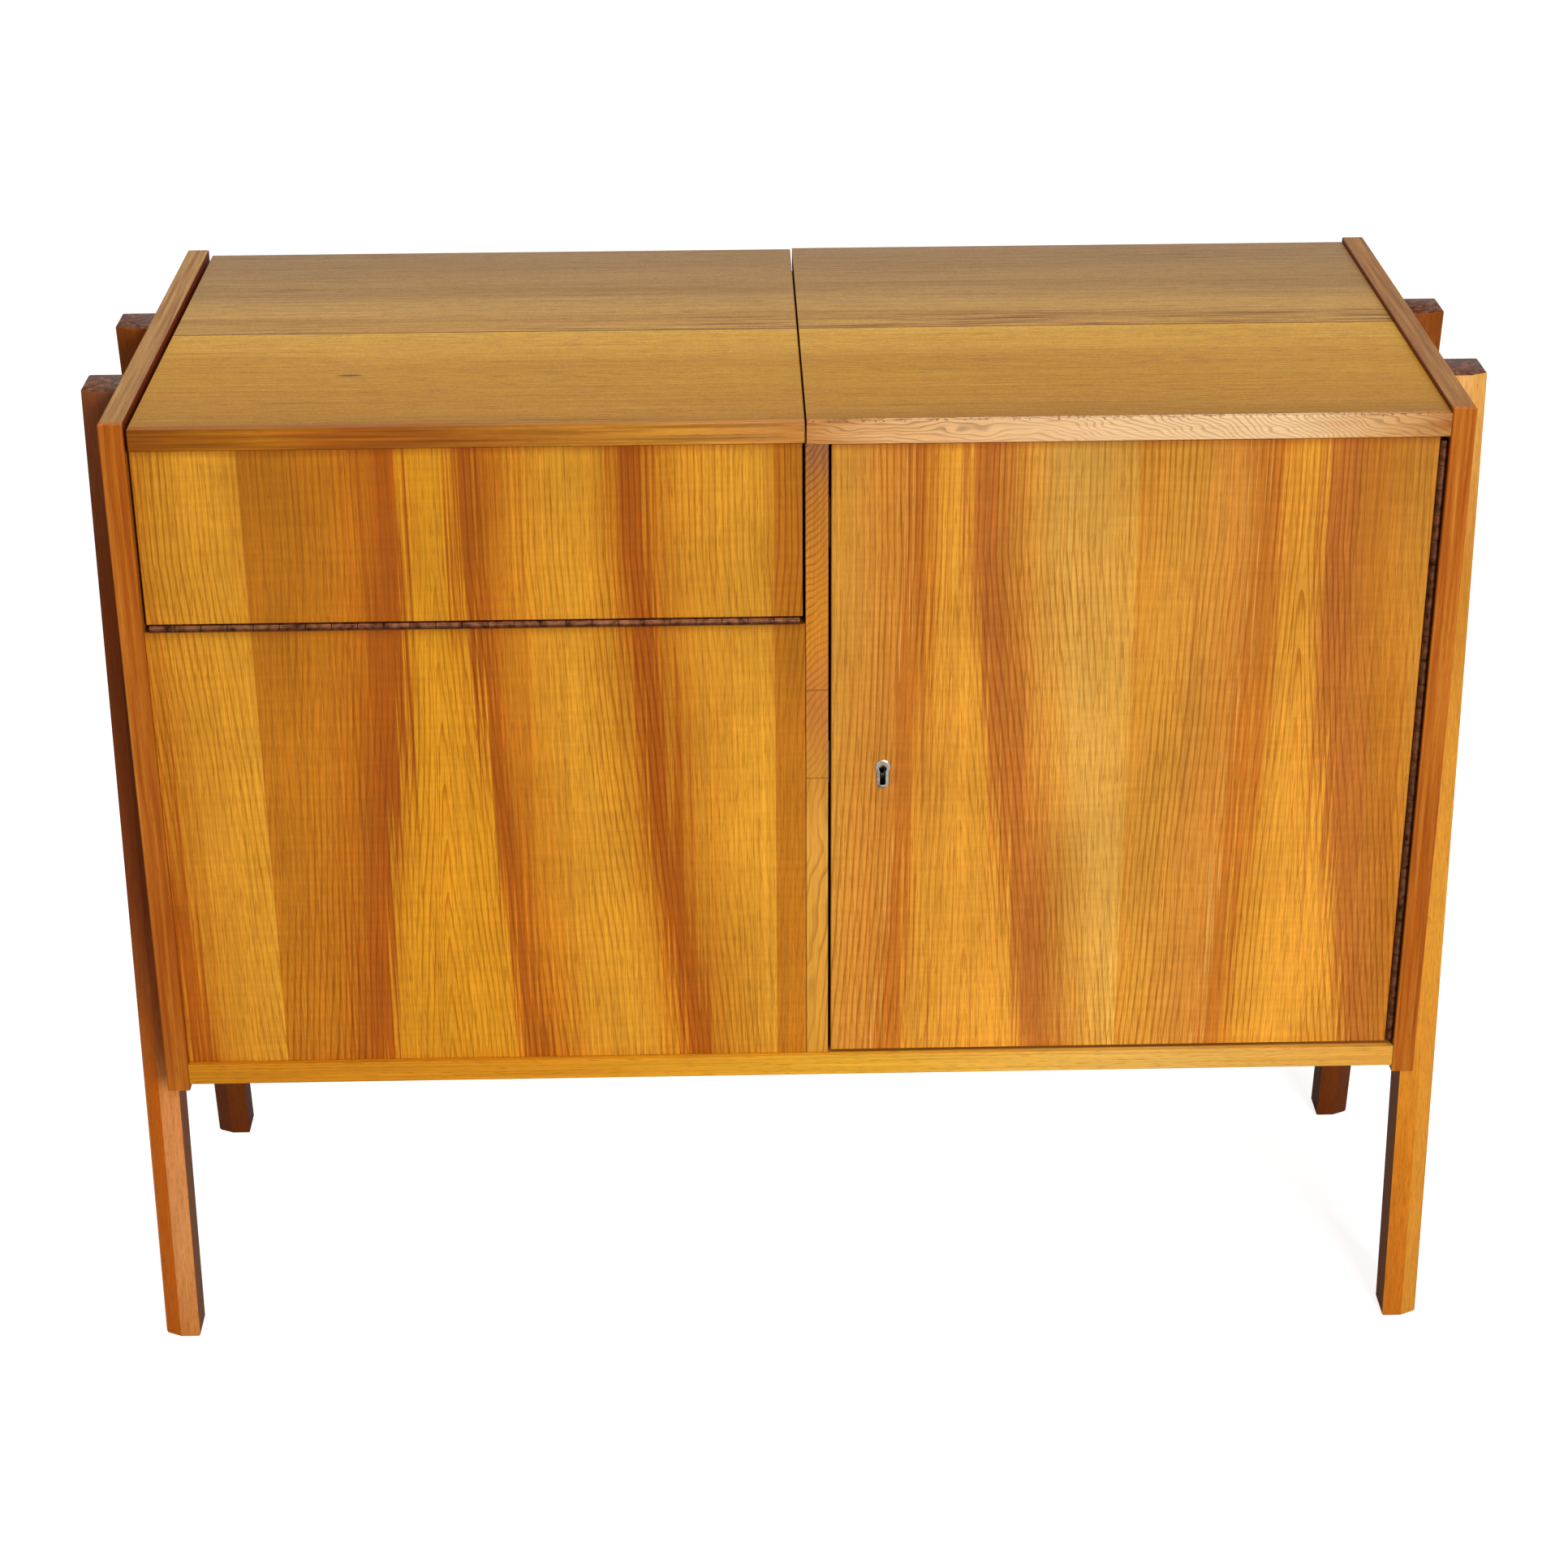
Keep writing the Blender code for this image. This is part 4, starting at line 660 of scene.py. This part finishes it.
def block(low, high, rounding=0.0):
    """A box mesh between two corners in mm, with rounded edges where rounding is given."""
    shape = bmesh.new()
    bmesh.ops.create_cube(shape, size=1.0)
    low, high = Vector(low) * MM, Vector(high) * MM
    for vert in shape.verts:
        vert.co = Vector([low[i] if vert.co[i] < 0 else high[i] for i in range(3)])
    if rounding:
        bmesh.ops.bevel(shape, geom=shape.edges[:], offset=rounding * MM, segments=2, profile=0.5,
                        affect="EDGES")
    bmesh.ops.recalc_face_normals(shape, faces=shape.faces)
    return made(shape, "block")


def joined(meshes):
    """One mesh made of several."""
    shape = bmesh.new()
    for mesh in meshes:
        shape.from_mesh(mesh)
    return made(shape, "joined")


def ringed(name, rings, centre_x, centre_z):
    """A closed mesh through these rings of points, the last one joined to the first."""
    shape = bmesh.new()
    rows = [[shape.verts.new(((centre_x + x) * MM, y * MM, (centre_z + z) * MM)) for x, y, z in ring]
            for ring in rings]
    for outer, inner in zip(rows, rows[1:] + rows[:1]):
        for i in range(len(outer)):
            j = (i + 1) % len(outer)
            shape.faces.new((outer[i], outer[j], inner[j], inner[i]))
    bmesh.ops.recalc_face_normals(shape, faces=shape.faces)
    return made(shape, name)


def screw_head(radius, height):
    """A slotted screw head that faces up Z from the origin. Sizes are in mm."""
    dome = show("dome", turned([(0, -0.3), (radius, -0.3), (radius, 0.12 * height),
                                (0.86 * radius, 0.62 * height), (0.5 * radius, 0.93 * height),
                                (0, height)], 20))
    slot = show("slot", block((-radius - 1, -0.13 * radius, 0.35 * height),
                              (radius + 1, 0.13 * radius, height + 1)))
    cut = dome.modifiers.new("slot", "BOOLEAN")
    cut.object = slot
    cut.operation = "DIFFERENCE"
    mesh = plain(dome)
    bpy.data.objects.remove(slot)
    return mesh


def build_repeater():
    """The Geometry Nodes tree that sets one piece at each point, and turns it by a random angle."""
    tree = bpy.data.node_groups.new("set_a_piece_at_each_point", "GeometryNodeTree")
    face = tree.interface
    face.new_socket("Geometry", in_out="OUTPUT", socket_type="NodeSocketGeometry")
    face.new_socket("Points", in_out="INPUT", socket_type="NodeSocketGeometry")
    for name, kind in (("Piece", "Object"), ("Facing", "Vector"), ("Turn", "Float"),
                       ("Seed", "Int"), ("Finish", "Material")):
        face.new_socket(name, in_out="INPUT", socket_type="NodeSocket" + kind)
    given = add(tree, "NodeGroupInput", {}).outputs
    piece = add(tree, "GeometryNodeObjectInfo", {"Object": given["Piece"]})
    back = add(tree, "Math", {0: given["Turn"], 1: -1.0}, operation="MULTIPLY")
    angle = add(tree, "FunctionNodeRandomValue", {
        "Min": back, "Max": given["Turn"], "Seed": given["Seed"]}, data_type="FLOAT")
    about = add(tree, "CombineXYZ", {"Z": angle})
    spin = add(tree, "FunctionNodeEulerToRotation", {0: about})
    aim = add(tree, "FunctionNodeAlignRotationToVector", {"Vector": given["Facing"]}, axis="Z")
    turn = add(tree, "FunctionNodeRotateRotation", {0: aim, 1: spin}, rotation_space="LOCAL")
    copies = add(tree, "GeometryNodeInstanceOnPoints", {
        "Points": given["Points"], "Instance": piece.outputs["Geometry"], "Rotation": turn})
    real = add(tree, "GeometryNodeRealizeInstances", {"Geometry": copies})
    coated = add(tree, "GeometryNodeSetMaterial", {"Geometry": real, "Material": given["Finish"]})
    add(tree, "NodeGroupOutput", {"Geometry": coated})
    return tree


REPEATER = build_repeater()


def repeated(unit, points, facing, material, turn=0.0, seed=1):
    """Copies of the unit mesh at points in mm, all facing one way, as one plain mesh."""
    source = show("unit", unit)
    spots = bpy.data.meshes.new("spots")
    spots.from_pydata([Vector(point) * MM for point in points], [], [])
    carrier = bpy.data.objects.new("spots", spots)
    bpy.context.scene.collection.objects.link(carrier)
    maker = carrier.modifiers.new("repeat", "NODES")
    maker.node_group = REPEATER
    given = {"Piece": source, "Facing": facing, "Turn": turn, "Seed": seed, "Finish": material}
    for item in REPEATER.interface.items_tree:
        if item.name in given:
            maker[item.identifier] = given[item.name]
    mesh = plain(carrier)
    bpy.data.objects.remove(source)
    return mesh


def knuckle(side, length):
    """One rolled knuckle with its tongue of leaf, standing on the origin along Z."""
    flat = HINGE_RADIUS - HINGE_LEAF_THICKNESS
    lap = HINGE_LEAF_START + 0.3
    ribbon = [((HINGE_RADIUS, lap), (flat, lap))]
    for i in range(KNUCKLE_STEPS + 1):
        angle = -KNUCKLE_ROLL * i / KNUCKLE_STEPS
        inner = HINGE_BORE if i else flat
        ribbon.append(((HINGE_RADIUS * math.cos(angle), HINGE_RADIUS * math.sin(angle)),
                       (inner * math.cos(angle), inner * math.sin(angle))))
    shape = bmesh.new()
    rows = [[shape.verts.new((side * x * MM, y * MM, z * MM)) for pair in ribbon for x, y in pair]
            for z in (0.0, length)]
    low, high = rows
    last = len(low) - 2
    for i in range(0, last, 2):
        shape.faces.new((low[i], low[i + 2], high[i + 2], high[i]))
        shape.faces.new((low[i + 1], high[i + 1], high[i + 3], low[i + 3]))
        shape.faces.new((low[i], low[i + 1], low[i + 3], low[i + 2]))
        shape.faces.new((high[i], high[i + 2], high[i + 3], high[i + 1]))
    for i in (0, last):
        shape.faces.new((low[i], low[i + 1], high[i + 1], high[i]))
    bmesh.ops.recalc_face_normals(shape, faces=shape.faces)
    ends = [edge for edge in shape.edges if edge.calc_face_angle(0) > math.radians(60)]
    bmesh.ops.bevel(shape, geom=ends, offset=0.12 * MM, segments=1, profile=0.5, affect="EDGES")
    return made(shape, "knuckle")


def hinge_leaf(node, side, place, length, body, screw, seed):
    """One leaf of a piano hinge. It is made along its own Z, then put in its place."""
    count = round(length / HINGE_PITCH)
    pitch = length / count
    start = -length / 2 + HINGE_GAP / 2
    # The two leaves' knuckles take turns along the pin.
    first = 0 if side > 0 else 1
    spots = [(0, 0, start + i * pitch) for i in range(first, count, 2)]
    rolled = repeated(knuckle(side, pitch - HINGE_GAP), spots, (0, 0, 1), dull_brass)
    flat = HINGE_RADIUS - HINGE_LEAF_THICKNESS
    xs = sorted((side * flat, side * HINGE_RADIUS))
    plate = block((xs[0], HINGE_LEAF_START, -length / 2 + 0.05),
                  (xs[1], HINGE_LEAF_WIDTH, length / 2 - 0.05), 0.12)
    screws = round((length - 2 * HINGE_SCREW_INSET) / HINGE_SCREW_PITCH)
    step = (length - 2 * HINGE_SCREW_INSET) / screws
    heads = repeated(screw, [(side * flat, HINGE_SCREW_OUT, i * step - length / 2 + HINGE_SCREW_INSET)
                             for i in range(screws + 1)], (-side, 0, 0), dull_brass, math.pi, seed)
    leaf = joined([rolled, plate, heads])
    leaf.transform(place)
    finished(node + "_rolled", leaf, dull_brass, body, "dull_brass", node)


hinge_screw = screw_head(2.3, 0.45)
lay_flat = Matrix.Rotation(math.pi / 2, 4, "Y")
turn_back = Matrix.Rotation(math.pi, 4, "Z")
for name, axis, spread in (("door", 2, Matrix()), ("flap", 0, lay_flat), ("lid", 0, turn_back @ lay_flat)):
    low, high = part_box(name + "_hinge_pin")
    middle = (Vector(low) + Vector(high)) / 2
    length = (high[axis] - low[axis]) / MM
    place = Matrix.Translation(middle) @ spread
    hinge_leaf(name + "_hinge_case_leaf", 1, place, length, "case", hinge_screw, 3)
    hinge_leaf(name + "_hinge_" + name + "_leaf", -1, place, length, name, hinge_screw, 8)

leg_woods = {"leg_front_right": front_right_leg_wood, "leg_front_left": front_left_leg_wood_painted_shade,
             "leg_rear_right": rear_leg_wood_part_painted_shade, "leg_rear_left": rear_leg_wood_part_painted_shade}
for node, material in leg_woods.items():
    rounded = softened(node, LEG_EDGE, 3, LEG_END_EDGE)
    finished(node + "_rounded", rounded, material, "case", "leg_wood", node)

leg_screw = screw_head(4.5, 1.5)
for hand, inward in (("left", 1), ("right", -1)):
    nodes = ["leg_screw_" + front + "_" + hand + "_" + level
             for front in ("front", "rear") for level in ("lower", "upper")]
    spots = []
    for node in nodes:
        low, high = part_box(node)
        spots.append((inward * -SIDE_INNER, (low[1] + high[1]) / 2 / MM, (low[2] + high[2]) / 2 / MM))
    heads = repeated(leg_screw, spots, (inward, 0, 0), zinc_steel, math.pi, 5)
    finished("leg_screws_" + hand, heads, zinc_steel, "case", "zinc_steel", *nodes)

back_screw = screw_head(2.6, 1.2)
back_spots = [(BACK_SCREWS_FROM + i * BACK_SCREW_PITCH, BACK_FACE, z)
              for z in BACK_SCREW_ROWS for i in range(6)]
finished("back_screws", repeated(back_screw, back_spots, (0, 1, 0), zinc_steel, math.pi, 7),
         zinc_steel, "case", "zinc_steel")

metals = {"dull_brass": dull_brass, "zinc_steel": zinc_steel}
for node, width, body, slot in (
        ("flap_stay_left", 0.3, "flap", "dull_brass"),
        ("flap_stay_right", 0.3, "flap", "dull_brass"),
        ("stay_guide_left", 0.4, "case", "dull_brass"),
        ("stay_guide_right", 0.4, "case", "dull_brass"),
        ("lid_stay_base", 0.3, "case", "dull_brass"),
        ("lid_stay_bracket", 0.3, "lid", "dull_brass"),
        ("lid_stay_lower_arm", 0.25, "lid_stay_lower", "dull_brass"),
        ("lid_stay_upper_arm", 0.25, "lid_stay_upper", "dull_brass"),
        ("lock_case", 0.6, "door", "zinc_steel"),
        ("strike_plate", 0.25, "case", "zinc_steel")):
    finished(node + "_eased", softened(node, width), metals[slot], body, slot, node)

small_screw = screw_head(2.0, 0.9)
low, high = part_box("lock_case")
inset = 5.0
lock_spots = [(x / MM + a * inset, high[1] / MM, z / MM + b * inset)
              for x, a in ((low[0], 1), (high[0], -1)) for z, b in ((low[2], 1), (high[2], -1))]
finished("lock_screws", repeated(small_screw, lock_spots, (0, 1, 0), zinc_steel, math.pi, 11),
         zinc_steel, "door", "zinc_steel")


def keyhole_points(radius, half_stem, foot, steps=16):
    """A keyhole outline in XZ, in mm, from its head's centre: a round head over a straight stem."""
    spread = math.asin(half_stem / radius)
    points = []
    for i in range(steps + 1):
        angle = -math.pi / 2 + spread + (math.tau - 2 * spread) * i / steps
        points.append((radius * math.cos(angle), radius * math.sin(angle)))
    corner = 0.8 * half_stem
    points += [(-half_stem, foot + corner), (-half_stem + 0.3 * corner, foot + 0.3 * corner),
               (-half_stem + corner, foot), (half_stem - corner, foot),
               (half_stem - 0.3 * corner, foot + 0.3 * corner), (half_stem, foot + corner)]
    return points


def keyhole_plate(node):
    """The keyhole insert: a thin lip domed towards the keyhole, over a black sleeve that is painted shade
    inside the keyhole.
    """
    low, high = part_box(node)
    head = 6.0
    centre_x = (low[0] + high[0]) / 2 / MM
    centre_z = high[2] / MM - head
    foot = low[2] / MM - centre_z
    front, rear = low[1] / MM, high[1] / MM
    key_z = KEYHOLE_HEIGHT - centre_z
    # Each outline is given by its head's radius, half its stem's width, its foot and its y.
    lip = ((5.6, 4.4, foot + 0.4, rear), (head, 4.7, foot, front + 0.4),
           (5.7, 4.4, foot + 0.3, front + 0.24), (5.0, 3.6, foot + 0.8, front + 0.06),
           (4.3, 2.9, foot + 1.3, front))
    hole = ((3.0, 2.3, -14.2, front + 0.12), (2.8, 2.1, -13.9, front + 0.5),
            (3.6, 3.0, -14.9, front + 1.0), (3.6, 3.0, -14.9, rear))
    sleeve = ((3.5, 2.9, -14.8, front + 1.1), (3.0, 2.4, -14.3, front + 1.1),
              (3.0, 2.4, -14.3, rear), (3.5, 2.9, -14.8, rear))
    outlines = [[[(x, y, z + rise) for x, z in keyhole_points(radius, stem, end)]
                 for radius, stem, end, y in group]
                for group, rise in ((lip, 0), (hole, key_z), (sleeve, key_z))]
    plate = ringed("keyhole_plate", outlines[0] + outlines[1], centre_x, centre_z)
    finished("keyhole_plate", plate, nickel, "door", "nickel", node)
    # The sleeve is painted shade: black steel that keeps the keyhole dark.
    painted_shade_lining = ringed("keyhole_sleeve", outlines[2], centre_x, centre_z)
    finished("keyhole_sleeve", painted_shade_lining, keyhole_shade_steel, "door", "zinc_steel")


keyhole_plate("keyhole_insert")


def build_floor():
    """A plain white floor that looks white to the camera and keeps the object's shadow."""
    mesh = bpy.data.meshes.new("floor")
    reach = 40.0
    mesh.from_pydata([(-reach, -reach, 0), (reach, -reach, 0), (reach, reach, 0), (-reach, reach, 0)],
                     [], [(0, 1, 2, 3)])
    floor = show("floor", mesh)
    material = bpy.data.materials.new("white_studio_floor")
    material.use_nodes = True
    tree = material.node_tree
    tree.nodes.clear()
    paper = add(tree, "BsdfDiffuse", {"Color": colour("#cccccc")})
    glow = add(tree, "Emission", {"Color": colour("#ffffff"), "Strength": 0.82})
    seen = add(tree, "AddShader", {0: paper, 1: glow})
    path = add(tree, "LightPath", {})
    mix = add(tree, "MixShader", {0: path.outputs["Is Camera Ray"], 1: paper, 2: seen})
    add(tree, "OutputMaterial", {"Surface": mix})
    mesh.materials.append(material)


def build_world():
    """Even studio light from all round, and a white background to the camera."""
    world = bpy.data.worlds.new("studio")
    bpy.context.scene.world = world
    world.use_nodes = True
    tree = world.node_tree
    tree.nodes.clear()
    path = add(tree, "LightPath", {})
    straight = add(tree, "Math", {0: path.outputs["Is Camera Ray"],
                                  1: path.outputs["Is Transmission Ray"]}, operation="MAXIMUM")
    seen = add(tree, "Math", {0: straight, 1: path.outputs["Is Glossy Ray"]}, operation="MAXIMUM")
    strength = add(tree, "MapRange", {0: seen, 3: 0.24, 4: 1.0})
    light = add(tree, "Background", {"Color": colour("#ffffff"), "Strength": strength})
    add(tree, "OutputWorld", {"Surface": light})


def softbox(name, spot, aim, size, watts):
    """A square studio softbox at spot, facing aim."""
    lamp = bpy.data.lights.new(name, "AREA")
    lamp.shape = "SQUARE"
    lamp.size = size
    lamp.energy = watts
    box = bpy.data.objects.new(name, lamp)
    box.location = spot
    box.rotation_euler = (Vector(aim) - Vector(spot)).to_track_quat("-Z", "Y").to_euler()
    bpy.context.scene.collection.objects.link(box)


def build_camera():
    """The photograph's camera: where it stood, how it was turned, and its lens."""
    ahead = Vector((math.sin(YAW) * math.cos(PITCH), math.cos(YAW) * math.cos(PITCH), -math.sin(PITCH)))
    level = Vector((math.cos(YAW), -math.sin(YAW), 0))
    down = ahead.cross(level)
    right = math.cos(ROLL) * level + math.sin(ROLL) * down
    low = -math.sin(ROLL) * level + math.cos(ROLL) * down
    lens = bpy.data.cameras.new("camera")
    lens.sensor_width = SENSOR
    lens.lens = FOCAL_LENGTH / PICTURE_WIDTH * SENSOR
    camera = bpy.data.objects.new("camera", lens)
    turn = Matrix((right, -low, -ahead)).transposed().to_4x4()
    camera.matrix_world = Matrix.Translation(CAMERA_AT) @ turn
    bpy.context.scene.collection.objects.link(camera)
    bpy.context.scene.camera = camera


build_floor()
build_world()
softbox("key_softbox", (1.4, -4.1, 2.0), (0, 0, 0.4), 1.3, 153)
softbox("overhead_softbox", (0.0, -0.3, 4.2), (0, 0, 0.8), 1.5, 74)
build_camera()
bpy.context.scene.view_settings.view_transform = "Standard"
